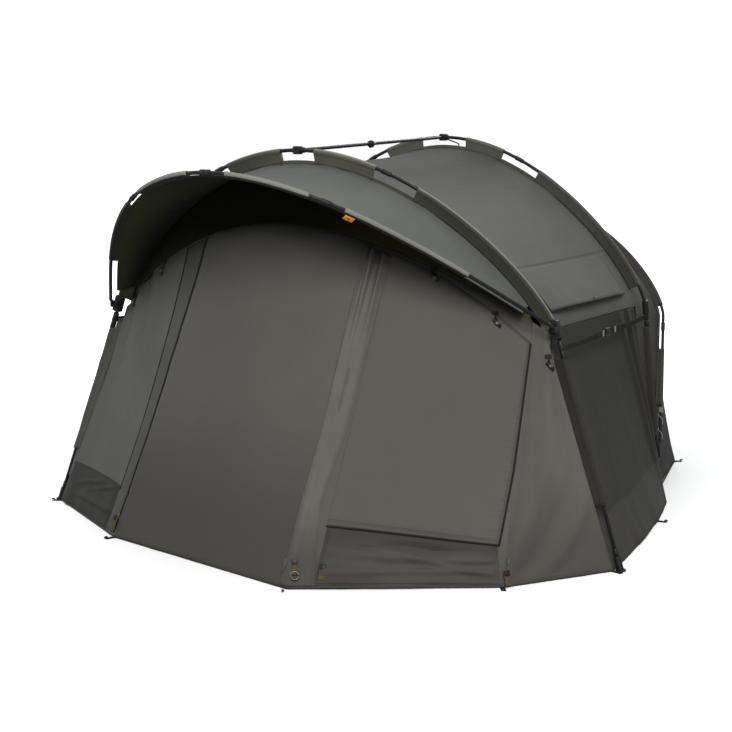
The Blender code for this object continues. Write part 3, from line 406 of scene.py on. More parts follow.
# Colours of the cloth
ROOF_TONE = (0.082, 0.083, 0.072)
HOOD_TONE = (0.082, 0.086, 0.077)
FRONT_TONE = (0.078, 0.075, 0.066)
LEFT_TONE = (0.070, 0.070, 0.063)
DARK_TONE = (0.0175, 0.0166, 0.0142)
BACK_TONE = (0.038, 0.036, 0.033)
# inner faces of the cloth: painted shade of the tent's inside
SHADED_INNER_TONE = (0.014, 0.014, 0.009)
SHADE_TONE = (0.0120, 0.0112, 0.0046)
# dark khaki of the hood's inside: painted shade
HOOD_INNER_TONE = (0.037, 0.038, 0.015)
# the hood web's light tone is a painted highlight along its sleeve
WEB_TONES = {"front": (0.084, 0.083, 0.068), "rear": (0.076, 0.075, 0.064), "hood": (0.150, 0.150, 0.132)}
# leg sleeves: painted light on the left ones and painted shade on the right ones
LIT_AND_SHADED_SLEEVE_TONES = {"left": (0.060, 0.060, 0.054), "right": (0.022, 0.021, 0.018)}
LOOKS = {
    "tube": hard("tube", (0.011, 0.011, 0.011), 0.36, 0.2, 0.25),
    "joint": hard("joint", (0.007, 0.007, 0.007), 0.48, 0.0, 0.25),
    "block": hard("block", (0.008, 0.008, 0.008), 0.46, 0.0, 0.35, 90.0),
    "steel": hard("steel", (0.42, 0.42, 0.40), 0.34, 0.9, 0.1, 120.0),
    "dark_steel": hard("dark_steel", (0.10, 0.095, 0.075), 0.42, 0.7, 0.2, 120.0),
    "buckle": hard("buckle", (0.007, 0.007, 0.007), 0.40, 0.0, 0.30, 110.0),
    # inner faces of the cloth, dark as painted shade
    "inner": fabric("inner", SHADED_INNER_TONE, rough=0.92, gloss=0.06),
    "shade": fabric("shade", SHADE_TONE, rough=0.95, fade=0.2, gloss=0.03),
    "floor_cloth": fabric("floor_cloth", (0.030, 0.031, 0.028), rough=0.6, fade=0.2),
    "leg_cloth": fabric("leg_cloth", (0.028, 0.027, 0.024), fade=0.16),
    "zip": zip_look("zip", (0.006, 0.006, 0.005), (0.010, 0.010, 0.009)),
    "strap": webbing("strap", (0.014, 0.014, 0.013)),
    "loop": webbing("loop", (0.070, 0.060, 0.022)),
    "cord": hard("cord", (0.30, 0.30, 0.27), 0.8, 0.0, 0.3, 300.0),
    "orange": webbing("orange", (0.80, 0.33, 0.05)),
}

# Pieces: what each is made of, rides on and stands for
SHEETS, TAPES = [], {}


def finish(thing, body, nodes=()):
    """Makes a piece ride on its body and stand for its solids. Given two bodies and a blend, it only bakes
    its place into its mesh.
    """
    if isinstance(body, str):
        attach(thing, body)
    else:
        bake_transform(thing)
    if nodes:
        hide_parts(*nodes)
    return thing


def placed(name, verts, faces, looks, metres, share, which=None):
    """Object from lists of points and faces, with its two maps and its materials."""
    mesh = bpy.data.meshes.new(name)
    mesh.from_pydata(np.asarray(verts, float).tolist(), [], [list(map(int, face)) for face in faces])
    for look in looks:
        mesh.materials.append(LOOKS[look] if isinstance(look, str) else look)
    if which is not None:
        mesh.polygons.foreach_set("material_index", which)
    corners = np.empty(len(mesh.loops), int)
    mesh.loops.foreach_get("vertex_index", corners)
    for label, values in (("metres", metres), ("share", share)):
        mesh.uv_layers.new(name=label).data.foreach_set("uv", values[corners].ravel())
    mesh.shade_smooth()
    thing = bpy.data.objects.new(name, mesh)
    bpy.context.scene.collection.objects.link(thing)
    return thing


def arcs(grid, axis):
    """Lengths along the rows or the columns of a grid, up to each point."""
    step = np.linalg.norm(np.diff(grid, axis=axis), axis=2)
    zero = np.zeros_like(step[:, :1] if axis else step[:1])
    return np.concatenate([zero, np.cumsum(step, axis=axis)], axis=axis)


def declare(thing, grid, quads, held, rests):
    """Notes the flat size of a sheet: its longest row and column, and the area of its cloth."""
    width, length = arcs(grid, 1)[:, -1].max(), arcs(grid, 0)[-1].max()
    a, b, c, d = (grid.reshape(-1, 3)[quads[:, k]] for k in range(4))
    halves = (np.cross(b - a, c - a), np.cross(c - a, d - a))
    area = sum(np.linalg.norm(half, axis=1).sum() for half in halves) / 2
    area = min(max(area, 0.3 * width * length), width * length)
    flat = (round(float(width), 4), round(float(length), 4))
    facts = {"flat": flat, "held": held, "rests_on": list(rests), "area": float(area) * 0.9999}
    SHEETS.append((thing, facts))


def cloth(name, grid, look, body, nodes=(), heights=None, heart=HEART, inside="inner", thick=CLOTH,
          held="stretched", rests=(), slot=None, declared=True):
    """Thin cloth over a grid of points, raised by heights along its outward direction. Its inner face has the
    look given as inside, or where that is None, the same look."""
    if heights is not None:
        grid = raised(grid, heights, heart)
    out, turned = normals(grid, heart)
    rows, wide = grid.shape[:2]
    count = rows * wide
    index = np.arange(count).reshape(rows, wide)
    quads = np.stack([index[:-1, :-1], index[:-1, 1:], index[1:, 1:], index[1:, :-1]], -1).reshape(-1, 4)
    rim = np.concatenate([index[0], index[1:, -1], index[-1, ::-1][1:], index[::-1, 0][1:]])
    rim = np.stack([rim[1:], rim[:-1], rim[:-1] + count, rim[1:] + count], -1)
    if turned:
        quads, rim = quads[:, ::-1], rim[:, ::-1]
    faces = np.concatenate([quads, quads[:, ::-1] + count, rim])
    which = np.repeat([0, 1, 0], [len(quads), len(quads), len(rim)])
    metres = np.stack([arcs(grid, 1), arcs(grid, 0)], -1).reshape(-1, 2)
    share = np.stack(shares_of(grid), -1).reshape(-1, 2)
    verts = np.concatenate([grid, grid - out * thick]).reshape(-1, 3)
    thing = placed(name, verts, faces, [look, inside or look], np.tile(metres, (2, 1)),
                   np.tile(share, (2, 1)), which)
    if declared:
        declare(thing, grid, quads, held, rests)
    return finish(thing, body, nodes)


def bend(first, second, slope, middle, value):
    """Start and end of a blend whose weight is the given value at a point and grows along a slope."""
    slope, middle = np.asarray(slope, float), np.asarray(middle, float)
    size = slope @ slope
    start = middle - slope * value / size
    return first, second, tuple(start), tuple(start + slope / size)


def tube(name, points, radii, look, body, nodes=(), sides=20, slot=None, stepped=None):
    """Round tube with a radius at each point. Where it is wider than stepped, it wears the joint look."""
    points = np.asarray(points, float)
    radii = np.broadcast_to(np.asarray(radii, float), len(points))
    along = unit(np.gradient(points, axis=0))
    run = lengths_along(points)
    turns = np.linspace(0, 2 * math.pi, sides, endpoint=False)
    side = np.cross(along[0], [0.31, 0.21, 0.93])
    verts = []
    for p, t, r in zip(points, along, radii):
        side = unit(side - t * (side @ t))
        verts.append(p + r * (np.cos(turns)[:, None] * side + np.sin(turns)[:, None] * np.cross(t, side)))
    index = np.arange(len(points) * sides).reshape(-1, sides)
    after = np.roll(index, -1, axis=1)
    quads = np.stack([index[:-1], after[:-1], after[1:], index[1:]], -1).reshape(-1, 4)
    metres = np.stack(np.broadcast_arrays(radii[:, None] * turns, run[:, None]), -1)
    share = np.stack(np.broadcast_arrays(turns / (2 * math.pi), run[:, None] / run[-1]), -1)
    wide = np.zeros(len(points) - 1, int) if stepped is None else (radii[:-1] > stepped).astype(int)
    thing = placed(name, np.concatenate(verts), [*quads, index[0, ::-1], index[-1]],
                   [look] if stepped is None else [look, "joint"],
                   metres.reshape(-1, 2), share.reshape(-1, 2), np.append(np.repeat(wide, sides), [0, 0]))
    return finish(thing, body, nodes)


def spool(name, centre, way, profile, look, body, **more):
    """Turned piece that is the same on both sides of its centre, from (place, radius) pairs outward."""
    way = np.asarray(way, float)
    points = [centre - way * k for k, _ in profile[::-1]] + [centre + way * k for k, _ in profile]
    radii = [r for _, r in profile[::-1]] + [r for _, r in profile]
    return tube(name, points, radii, look, body, **more)


def bar(name, size, turn, centre, look, body, nodes=(), ease=0.15, slot=None):
    """Box with rounded edges, its sides along three directions."""
    turn = np.stack(turn, -1)
    work = bmesh.new()
    bmesh.ops.create_cube(work, size=1.0)
    bmesh.ops.scale(work, vec=size, verts=work.verts)
    bmesh.ops.bevel(work, geom=work.edges[:] + work.verts[:], offset=min(size) * ease, segments=3,
                    profile=0.5, affect="EDGES")
    work.verts.index_update()
    flat = np.array([v.co for v in work.verts])
    faces = [[v.index for v in face.verts] for face in work.faces]
    work.free()
    if np.linalg.det(turn) < 0:
        faces = [face[::-1] for face in faces]
    flat_map = flat[:, [1, 0]]
    thing = placed(name, flat @ turn.T + centre, faces, [look], flat_map, flat_map / max(size) + 0.5)
    return finish(thing, body, nodes)


# Cloth between the ribs
def within(span, stretches):
    """Shares of a rib's length as shares of the span that a cloth covers."""
    first, last = span
    return [((a - first) / (last - first), (b - first) / (last - first)) for a, b in stretches]


def gathers(u, v, bare, seed, size=0.003):
    """Small folds that fan out from the ends of the webs."""
    found = np.zeros_like(u)
    random = np.random.default_rng(seed)
    for first, last in bare:
        for edge, way in ((first, -1), (last, 1)):
            for k in range(3):
                spread = random.uniform(0.1, 0.55)
                line = edge + way * (0.012 + 0.013 * k) + random.uniform(-0.06, 0.06) * v
                fold = hump(u, line, 0.005 + 0.004 * k) * np.exp(-v / spread)
                found += size * random.uniform(0.5, 1.0) * fold
    return found


def sagged(u, v, sag, seed, size=0.004):
    """Slack of a stretched cloth, with long soft waves between its two edges."""
    waves = noise(u, v, 14, 2, seed) * 0.6 + noise(u, v, 30, 3, seed + 1) * 0.3
    return (size * waves - sag) * arch(v)


def crown_sag(u, v, deep):
    """Deeper slack toward the middle of the arch."""
    return deep * smooth(1 - np.abs(2 * u - 1), 0.2, 0.9) * arch(v)


u_roof = np.linspace(*ROOF_SPAN, 261)
grid = ruled(FRONT(u_roof, FRONT_WEB), REAR(u_roof, REAR_WEB), 81)
u, v = shares_of(grid)
height = sagged(u, v, 0.012, 1, 0.0055) - crown_sag(u, v, 0.014)
height += gathers(u, v, FRONT_BARE, 5) + gathers(u, 1 - v, REAR_BARE, 6)
for line in (0.872, 0.128):
    height += 0.0012 * smooth(np.abs(u - line), 0.004, 0.0015)
# painted shade over the left and middle of the roof, fading out toward its right end
roof_look = fabric("roof_look", ROOF_TONE, zones=((ACROSS, 0.80, 0.58, 0.9, 0.48),), seams=(
    (ACROSS, 0.876, 3.55, 0.0022, 0.55), (ACROSS, 0.124, 3.55, 0.0022, 0.55),
    (UP, 0.012, 1.4, 0.0018, 0.6), (UP, 0.988, 1.4, 0.0018, 0.6)))
cloth("roof_skin", grid, roof_look, "shelter", ("roof",), height, rests=("front_rib_web", "rear_rib_web"))

# Blends of the cloth that a folding rib takes along
out_of_front = np.array([0.0, -math.cos(FRONT.tilt), -math.sin(FRONT.tilt)])
out_of_rear = np.array([0.0, math.cos(REAR.tilt), math.sin(REAR.tilt)])
FOLD_FRONT = bend("shelter", "hood_frame", out_of_front / 0.42, (0.0, CENTRE_Y - 0.019, FRONT_HEIGHT), 0.03)
FOLD_BACK = bend("shelter", "back_frame", out_of_rear / 0.19, (0.0, 0.785, LOW_BLOCK_HEIGHT), 0.0)
FOLD_WALL = bend("shelter", "back_frame", (0.0, -0.335, 1.49), (0.0, 0.836, HEM), 0.2)

u_hood = np.linspace(*HOOD_SPAN, 241)
grid = ruled(HOOD(u_hood, HOOD_WEB), FRONT(u_hood, FRONT_WEB), 71)
u, v = shares_of(grid)
height = sagged(u, v, 0.010, 11, 0.003) - crown_sag(u, v, 0.012)
height += gathers(u, v, within(HOOD_SPAN, HOOD_BARE), 15, 0.0025)
height += gathers(u, 1 - v, within(HOOD_SPAN, FRONT_BARE), 16)
# Inside of the hood: painted shade, darkest toward the front rib and over its right half; its lighter left
# end near the hood rib is painted light coming through the cloth
hood_inner_shade = fabric("hood_inner_shade", HOOD_INNER_TONE, rough=0.92, gloss=0.05,
                    zones=((UP, 0.10, 0.95, 0.95, 0.06), (ACROSS, 0.28, 0.50, 0.97, 0.10)))
# painted shade over the hood's left half, fading out past its middle
hood_look = fabric("hood_look", HOOD_TONE, zones=((ACROSS, 0.68, 0.44, 1.0, 0.62),), seams=(
    (UP, 0.014, 0.72, 0.0018, 0.6), (UP, 0.986, 0.72, 0.0018, 0.6)))
cloth("front_hood_skin", grid, hood_look, FOLD_FRONT, ("front_hood",), height,
      rests=("hood_rib_web", "front_rib_web"), inside=hood_inner_shade)


def rear_line(shares):
    """Line behind the rear rib and down the rear legs, where the back hood starts."""
    up = np.linspace(BAY_START, 1, 25, endpoint=False)[:, None]
    ends = []
    for side, sign in SIDES:
        foot, top = LEGS["rear_" + side]
        ends.append(foot + (top - foot) * up - np.array([sign * REAR_WEB, 0, 0]))
    return at(np.vstack([ends[0], REAR(np.linspace(0, 1, 201), REAR_WEB), ends[1][::-1]]), shares)


u_back = np.linspace(*BACK_SPAN, 241)
grid = ruled(rear_line(u_back), BACK(u_back, BACK_WEB), 61)
u, v = shares_of(grid)
height = sagged(u, v, 0.010, 21, 0.003) + gathers(u, 1 - v, BACK_BARE, 26)
back_hood_look = fabric("back_hood_look", BACK_TONE, (
    (UP, 0.02, 0.7, 0.0018, 0.6), (UP, 0.98, 0.7, 0.0018, 0.6)))
cloth("back_hood_skin", grid, back_hood_look, FOLD_BACK, ("back_hood",), height,
      rests=("rear_rib_web", "back_rib_web"))


def ground_share(share):
    """Share of the back wall's foot line below a share of the back rib, with the pegs below its corners."""
    mirrored = end_share(share)
    corner = (0, BACK_CORNER_SHARE, 0.5)
    found = np.interp(mirrored, corner, (0, BACK_PEG_SHARE, 0.5))
    return np.where(share < 0.5, found, 1 - found)


foot_line = [floor_at(p) for p in (mirror(BACK_LINE[0]), mirror(BACK_LINE[1]), *BACK_LINE[::-1])]
grid = ruled(BACK(u_back, BACK_WEB), at(foot_line, ground_share(u_back)), 81)
u, v = shares_of(grid)
height = sagged(u, v, 0.018, 31, 0.006) + 0.004 * noise(u, v, 24, 6, 33) * smooth(v, 0.7, 1.0)
back_look = fabric("back_look", shaded(BACK_TONE, 0.75), low_darkening=0.5, seams=(
    (UP, 0.83, 1.35, 0.0022, 0.5), (UP, 0.985, 1.35, 0.0018, 0.5),
    (ACROSS, BACK_CORNER_SHARE, 4.2, 0.0022, 0.5), (ACROSS, 1 - BACK_CORNER_SHARE, 4.2, 0.0022, 0.5)))
BACK_ENDS = {"left": grid[::-1, 0], "right": grid[::-1, -1]}
cloth("back_wall_skin", grid, back_look, FOLD_WALL, ("back_wall",), height,
      rests=("back_rib_web", "groundsheet"))

# Side walls between the legs, with soft folds beside the rear leg: where each is, and how deep
SIDE_FOLDS = ((0.80, 0.016), (0.86, -0.013), (0.915, 0.015), (0.96, -0.010))
SIDE_ENDS = {}
s = np.linspace(0, 1, 121)
for side, sign in SIDES:
    end = ROOF_SPAN[sign > 0]
    below = np.array([0, 0, 0.0006])
    a, b = FRONT(end, FRONT_WEB) - below, REAR(end, REAR_WEB) - below
    low = at([floor_at((sign * x, y)) for x, y in SIDE_LINE], s)
    high = a + (b - a) * (0.015 + 0.97 * s)[:, None]
    SIDE_ENDS[side] = low[-1], high[-1]
    grid = ruled(low, high, 81)
    u, v = shares_of(grid)
    height = -0.012 * np.sin(np.pi * v) * np.sin(np.pi * u) + 0.004 * noise(u, v, 5, 2, 41 + sign)
    for k, (where, deep) in enumerate(SIDE_FOLDS):
        fold = hump(u, where + 0.02 * noise(v, u, 3, 2, 50 + k), 0.022)
        height += deep * fold * np.sin(np.pi * (v * 0.9 + 0.06)) ** 0.6
    height += 0.006 * noise(u, v, 16, 4, 45) * smooth(v, 0.30, 0.0)
    height *= smooth(inside_ends(u, 12), 0, 1)
    # below the low seam the wall is painted lighter: painted light where its skirt spreads out
    look = fabric("side_look_" + side, DARK_TONE, zones=((UP, 0.225, 0.205, 1.0, 1.75),), seams=(
        (UP, 0.20, 1.0, 0.0022, 0.5), (UP, 0.012, 1.0, 0.0018, 0.5)))
    cloth("side_wall_skin_" + side, grid, look, "shelter", ("side_wall_" + side,), height,
          rests=("groundsheet", "roof"))

# Front panels, kept as finished grids for what is sewn on them
PANELS = {}


def front_panel(name, low_start, low_end, first, last, wide, rows):
    """Grid between the floor and the line along the panels' tops."""
    u = np.linspace(0, 1, wide)[:, None]
    low = floor_at(low_start) + (floor_at(low_end) - floor_at(low_start)) * u
    grid = ruled(low, at(EDGE, first + (last - first) * u[:, 0]), rows)
    return name, grid, *shares_of(grid)


def bowed(u, v, bow, seed):
    """Inward bow of a panel pegged at its corners, with creases that run up from the floor."""
    return -bow * arch(u) * np.sin(np.pi * v) ** 0.7 + 0.003 * noise(u, v, 7, 3, seed) * inside_ends(u, 12)


def panel_cloth(name, grid, look, height, body="shelter", rests=(), inside="inner"):
    PANELS[name] = raised(grid, height)
    cloth(name + "_skin", grid, look, body, (name,), height, rests=rests, inside=inside)


name, grid, u, v = front_panel("left_panel", LEFT_CORNER, DOOR_LEFT, 0.0, DOOR_TOP[0], 141, 121)
height = bowed(u, v, 0.022, 61)
for tilt, where, deep in ((0.20, 0.10, 0.007), (0.26, 0.21, -0.008), (0.32, 0.31, 0.009),
                          (0.40, 0.42, -0.007), (0.45, 0.52, 0.005)):
    height += deep * hump(u, where + tilt * (1 - v) * 0.6 - 0.05, 0.035) * smooth(v, 0.20, 0.75)
height += 0.007 * noise(u, v, 9, 5, 63) * smooth(v, 0.22, 0.05) * inside_ends(u, 8)
height -= 0.004 * hump(v, 0.192 - 0.05 * u, 0.006)
TOP_SHADE = ((UP, 0.94, 1.0, 0.55, 0.3),)
left_look = fabric("left_look", shaded(LEFT_TONE, 1.12), fade=0.12, zones=TOP_SHADE, seams=(
    (UP, 0.985, 1.0, 0.0018, 0.4), (UP, 0.012, 1.0, 0.0018, 0.5)))
panel_cloth(name, grid, left_look, height, rests=("front_leg_left", "groundsheet"))

name, grid, u, v = front_panel("door", DOOR_LEFT, DOOR_RIGHT, *DOOR_TOP, 181, 141)
height = bowed(u, v, 0.014, 71) + 0.003 * noise(u, v, 12, 8, 73) * smooth(v, 0.35, 0.0) * inside_ends(u, 8)
# painted shadow of the hood along the door's top edge, and darker towards the bottom
door_zones = ((UP, 0.90, 1.0, 0.25, 0.4), (UP, 0.950, 1.005, 0.80, 0.16), (UP, 0.55, 0.12, 0.7, 0.5))
door_look = fabric("door_look", shaded(FRONT_TONE, 0.95), fade=0.07, zones=door_zones, seams=(
    (UP, 0.988, 1.4, 0.0018, 0.4), (UP, 0.010, 1.4, 0.0018, 0.5)))
panel_cloth(name, grid, door_look, height, "door_leaf", ("groundsheet",), "shade")

name, grid, u, v = front_panel("window_panel", DOOR_RIGHT, WINDOW_RIGHT, DOOR_TOP[1], WINDOW_TOP, 141, 131)
height = bowed(u, v, 0.012, 81)
loose = smooth(v, 0.165, 0.10) * inside_ends(u, 7)
height += (0.010 * noise(u, v, 5, 9, 84) + 0.007 * noise(u, v, 9, 20, 85)) * loose
step = hump(v, 0.125 + 0.02 * noise(u, v, 4, 2, 86), 0.014)
height -= 0.012 * step * smooth(u, 0.05, 0.3) * smooth(u, 0.98, 0.7)
# painted shadow of the hood along the panel's top edge, and darker towards the bottom
window_look = fabric("window_look", shaded(FRONT_TONE, 0.92), fade=0.08, low_darkening=0.45,
                     zones=((UP, 0.965, 1.005, 0.70, 0.2),), seams=(
                         (UP, 0.985, 1.1, 0.0018, 0.4), (UP, 0.012, 1.1, 0.0018, 0.5)))
panel_cloth(name, grid, window_look, height, rests=("groundsheet", "front_rib_web"))

name, grid, u, v = front_panel("right_panel", WINDOW_RIGHT, RIGHT_CORNER, WINDOW_TOP, 1.0, 61, 121)
height = bowed(u, v, 0.016, 91)
near_floor = smooth(v, 0.55, 0.15) * smooth(v, -0.02, 0.08) * inside_ends(u, 8)
for where, slope, deep, wide in (
        (0.92, 1.9, 0.012, 0.10), (0.62, 1.6, -0.010, 0.11), (0.30, 1.2, 0.007, 0.09)):
    height += deep * hump(u, where - slope * (0.30 - v), wide) * near_floor
right_look = fabric("right_look", FRONT_TONE, ((UP, 0.012, 1.0, 0.0018, 0.5),), fade=0.12,
                    zones=((UP, 0.45, 0.05, 0.6, 0.5),))
panel_cloth(name, grid, right_look, height, rests=("front_leg_right", "groundsheet"))

# Dark strip between the front panels and the front rib, its near-black tone painted shade under the hood; a
# zone paints it lighter toward its right end
s = np.linspace(0.05, 0.95, 181)
grid = ruled(at(EDGE, s), FRONT(s, FRONT_WEB + 0.0096), 31)
u, v = shares_of(grid)
valance_look = fabric("valance_look", SHADE_TONE, rough=0.95, fade=0.3, gloss=0.02,
                      zones=((ACROSS, 0.52, 0.72, 0.9, 3.5),))
cloth("valance_skin", grid, valance_look, "shelter", ("valance",),
      0.002 * noise(u, v, 30, 3, 101) - 0.006 * arch(v), rests=("front_rib_web", "door"), inside="shade")


# Groundsheet
def between(near, far, left, right):
    """Grid that fills the space inside four lines that share their corners."""
    u, v = np.linspace(0, 1, near.shape[0])[None, :, None], np.linspace(0, 1, left.shape[0])[:, None, None]
    lines = near[None] * (1 - v) + far[None] * v + left[:, None] * (1 - u) + right[:, None] * u
    low = near[None, :1] * (1 - u) + near[None, -1:] * u
    high = far[None, :1] * (1 - u) + far[None, -1:] * u
    return lines - low * (1 - v) - high * v


def sheet_line(corners):
    return at([floor_at(p, SHEET_HEIGHT) for p in corners], np.linspace(0, 1, 61))


right_line = (RIGHT_CORNER, *SIDE_LINE[1:], BACK_LINE[1])
grid = between(sheet_line((LEFT_CORNER, DOOR_LEFT, DOOR_RIGHT, WINDOW_RIGHT, RIGHT_CORNER)),
               sheet_line((mirror(BACK_LINE[1]), BACK_LINE[2], BACK_LINE[1])),
               sheet_line([mirror(p) for p in right_line]), sheet_line(right_line))
u, v = shares_of(grid)
height = 0.0012 * np.abs(noise(u, v, 18, 18, 111))
cloth("groundsheet_skin", grid, "floor_cloth", "shelter", ("groundsheet",), height, heart=(0, 0.2, -5),
      inside=None, thick=THIN_CLOTH, held="laid", rests=("ground",))

# Webs that hold the ribs off the cloth, and sleeves on the legs
WRAP_ANGLE = math.radians(112)
FLAT_SHARE = 0.33


def wrapped(centres, anchors, radius, bare=None, hem=0.013, gap=0.0014, rows=29):
    """Grid round a tube from an anchor line and back to it, or a low hem where the tube is bare."""
    down = unit(anchors - centres)
    side = unit(np.cross(np.gradient(centres, axis=0), down))
    if bare is not None:
        centres = np.where(bare[:, None], anchors - down * hem, centres)
        radius = np.where(bare, gap, radius)[:, None]
    lines = []
    for w in np.linspace(0, 1, rows):
        angle = WRAP_ANGLE * (1 - 2 * np.clip((w - FLAT_SHARE) / (1 - 2 * FLAT_SHARE), 0, 1))
        arc = centres + radius * (-math.cos(angle) * down + math.sin(angle) * side)
        low = anchors + side * gap * (1 if w < 0.5 else -1)
        reach = np.clip(end_share(w) / FLAT_SHARE, 0, 1)
        lines.append(low + (arc - low) * reach)
    return np.stack(lines)


def web(name, rib, depth, ends, bare, body, look, seed):
    """Upright strip of cloth with a sleeve round its rib, cut away where the rib is bare."""
    edges = [edge + way for stretch in bare for edge in stretch for way in (-0.0002, 0.0002)]
    shares = np.array(sorted([*np.linspace(*ends, 281), *edges]))
    is_bare = np.zeros(len(shares), bool)
    near = np.full(len(shares), 1.0)
    for first, last in bare:
        is_bare |= (shares > first) & (shares < last)
        near = np.minimum(near, np.minimum(np.abs(shares - first), np.abs(shares - last)) * rib.length)
    grid = wrapped(rib(shares), rib(shares, depth), 0.0104, is_bare)
    u, v = shares_of(grid)
    face = np.sin(np.pi * np.abs(2 * v - 1))
    crease = np.sin(shares * rib.length * 250 + 3 * noise(u, v, 60, 2, seed)) * np.exp(-near / 0.06)
    height = (0.0022 * np.where(is_bare, 0.0, crease) + 0.0008 * noise(u, v, 50, 4, seed + 1)) * face
    tubes = tuple(name.replace("_web", "_tube_") + side for side, _ in SIDES)
    cloth(name + "_skin", grid, look, body, (name,), height, heart=tuple(rib(0.5, 0.8)), inside=None,
          thick=THIN_CLOTH, rests=tubes)


WEB_SEAMS = ((UP, 0.33, 0.14, 0.0010, 0.45), (UP, 0.67, 0.14, 0.0010, 0.45), (UP, 0.04, 0.14, 0.0012, 0.5),
             (UP, 0.96, 0.14, 0.0012, 0.5))
# painted light and shade on the webs: a painted highlight along the top of each sleeve, painted shade over
# parts of their length and toward their ends, and on the hood web painted shade over its front face
front_web_light_and_shade = ((ACROSS, 0.58, 0.78, 0.9, 0.42), (ACROSS, 0.47, 0.38, 0.85, 0.55),
               (ACROSS, 0.16, 0.08, 0.9, 0.25), (UP, 0.57, 0.53, 0.8, 2.2))
rear_web_light_and_shade = ((ACROSS, 0.55, 0.78, 0.9, 0.72), (ACROSS, 0.84, 0.92, 0.85, 0.50), (UP, 0.56, 0.52, 0.5, 2.4))
hood_web_light_and_shade = ((ACROSS, 0.30, 0.18, 0.9, 0.25), (UP, 0.58, 0.62, 0.95, 0.08))
front_web_look, rear_web_look, hood_web_look = (
    fabric(label + "_web_look", WEB_TONES[label], WEB_SEAMS, zones=zones)
    for label, zones in (("front", front_web_light_and_shade), ("rear", rear_web_light_and_shade), ("hood", hood_web_light_and_shade)))
back_web_look = fabric("back_web_look", shaded(BACK_TONE, 1.1), WEB_SEAMS)
web("front_rib_web", FRONT, FRONT_WEB, (0.016, 0.984), FRONT_BARE, "shelter", front_web_look, 201)
web("rear_rib_web", REAR, REAR_WEB, (0.040, 0.960), REAR_BARE, "shelter", rear_web_look, 203)
web("hood_rib_web", HOOD, HOOD_WEB, (0.150, 0.850), HOOD_BARE, "hood_frame", hood_web_look, 205)
web("back_rib_web", BACK, BACK_WEB, (0.060, 0.940), BACK_BARE, "back_frame", back_web_look, 207)


def leg_sleeve(label, side, anchors, z, radius, look, seed, rests):
    foot, top = LEGS[label + "_" + side]
    centre = line_point(foot, top, z)
    grid = wrapped(centre, anchors(centre), radius)
    u, v = shares_of(grid)
    cloth("leg_sleeve_" + label + "_" + side, grid, look, "shelter", (), 0.0012 * noise(u, v, 14, 3, seed),
          inside=None, thick=THIN_CLOTH, heart=tuple((foot + top) / 2), rests=rests, slot="side_wall_" + side)


SLEEVE_SEAMS = ((UP, 0.30, 0.10, 0.0010, 0.4), (UP, 0.70, 0.10, 0.0010, 0.4),
                (ACROSS, 0.02, 0.6, 0.0015, 0.5))
for side, sign in SIDES:
    corner, eave = floor_at((sign * RIGHT_CORNER[0], RIGHT_CORNER[1])), EAVES[sign]
    look = fabric("leg_look_" + side, LIT_AND_SHADED_SLEEVE_TONES[side], SLEEVE_SEAMS)
    leg_sleeve("front", side, lambda p: line_point(corner, eave, p[:, 2]), np.linspace(0.255, 0.842, 61),
               0.0125, look, 221 + sign, ("front_leg_" + side, "side_wall_" + side))
    leg_sleeve("rear", side, lambda p: p + (-sign * 0.020, -0.010, 0.0), np.linspace(0.262, 0.815, 51),
               0.0115, "leg_cloth", 231 + sign, ("rear_leg_" + side,))


# Tubes with stepped joints, and the ferrules of the legs
STEP = 0.0014
JOINT_STEPS = (0.0, 0.015, 0.0208, JOINT_LENGTH / 2, 0.0222, JOINT_LENGTH / 2 + STEP)
EYE = ((0.0080, 0.0130), (0.0085, 0.0124))
SLEEVE = ((0.0130, 0.0125), (0.0135, 0.0118), (0.0155, 0.0118), (0.0160, 0.0125), (0.0202, 0.0125),
          (0.0210, 0.0118))


def swollen(run, joint, plain=TUBE):
    """Radius along a tube with a wider joint at the given length."""
    half = JOINT_LENGTH / 2
    return plain + (JOINT - plain) * smooth(np.abs(run - joint), half + 0.0012, half - 0.0004)


def rib_tubes(label, rib, joints, body, pivot=False):
    gap = 0.001 / rib.length
    start = 0.0065 / rib.length if pivot else 0.004
    for (side, sign), first, last, joint in zip(SIDES, (start, 0.5 + gap), (0.5 - gap, 1 - start), joints):
        steps = {joint + way * k / rib.length for k in JOINT_STEPS for way in (-1, 1)}
        shares = np.array(sorted({*np.linspace(first, last, 120), *steps}))
        slot = label + "_tube_" + side
        radii = swollen(shares * rib.length, joint * rib.length)
        tube(slot + "_skin", rib(shares), radii, "tube", body, (slot,), stepped=TUBE + 0.0012)
        if pivot:
            spool(label + "_eye_" + side, rib(float(sign > 0)), (1, 0, 0), EYE, "joint", body, slot=slot)


RIBS = (("front_rib", FRONT, RIB_JOINTS, "shelter", False),
        ("rear_rib", REAR, RIB_JOINTS, "shelter", False),
        ("hood_rib", HOOD, RIB_JOINTS, "hood_frame", True),
        ("back_rib", BACK, BACK_JOINTS, "back_frame", True))
for row in RIBS:
    rib_tubes(*row)
for label, rib, _, body, _ in RIBS:
    spool(label + "_sleeve_skin", rib(0.5), (1, 0, 0), SLEEVE, "joint", body, nodes=(label + "_sleeve",))


def leg_ring(name, leg, profile, slot):
    """Turned ring round a leg, from (height, radius) pairs."""
    points = [line_point(*leg, z) for z, _ in profile]
    tube(name, points, [r for _, r in profile], "joint", "shelter", slot=slot)


def leg_tube(label, side, bottom, steps):
    foot, top = LEGS[label + "_" + side]
    places = (bottom, *steps, np.linalg.norm(top - foot) - 0.008)
    points = [foot + unit(top - foot) * k for k in places]
    tube(label + "_leg_skin_" + side, points, TUBE, "tube", "shelter", (label + "_leg_" + side,))


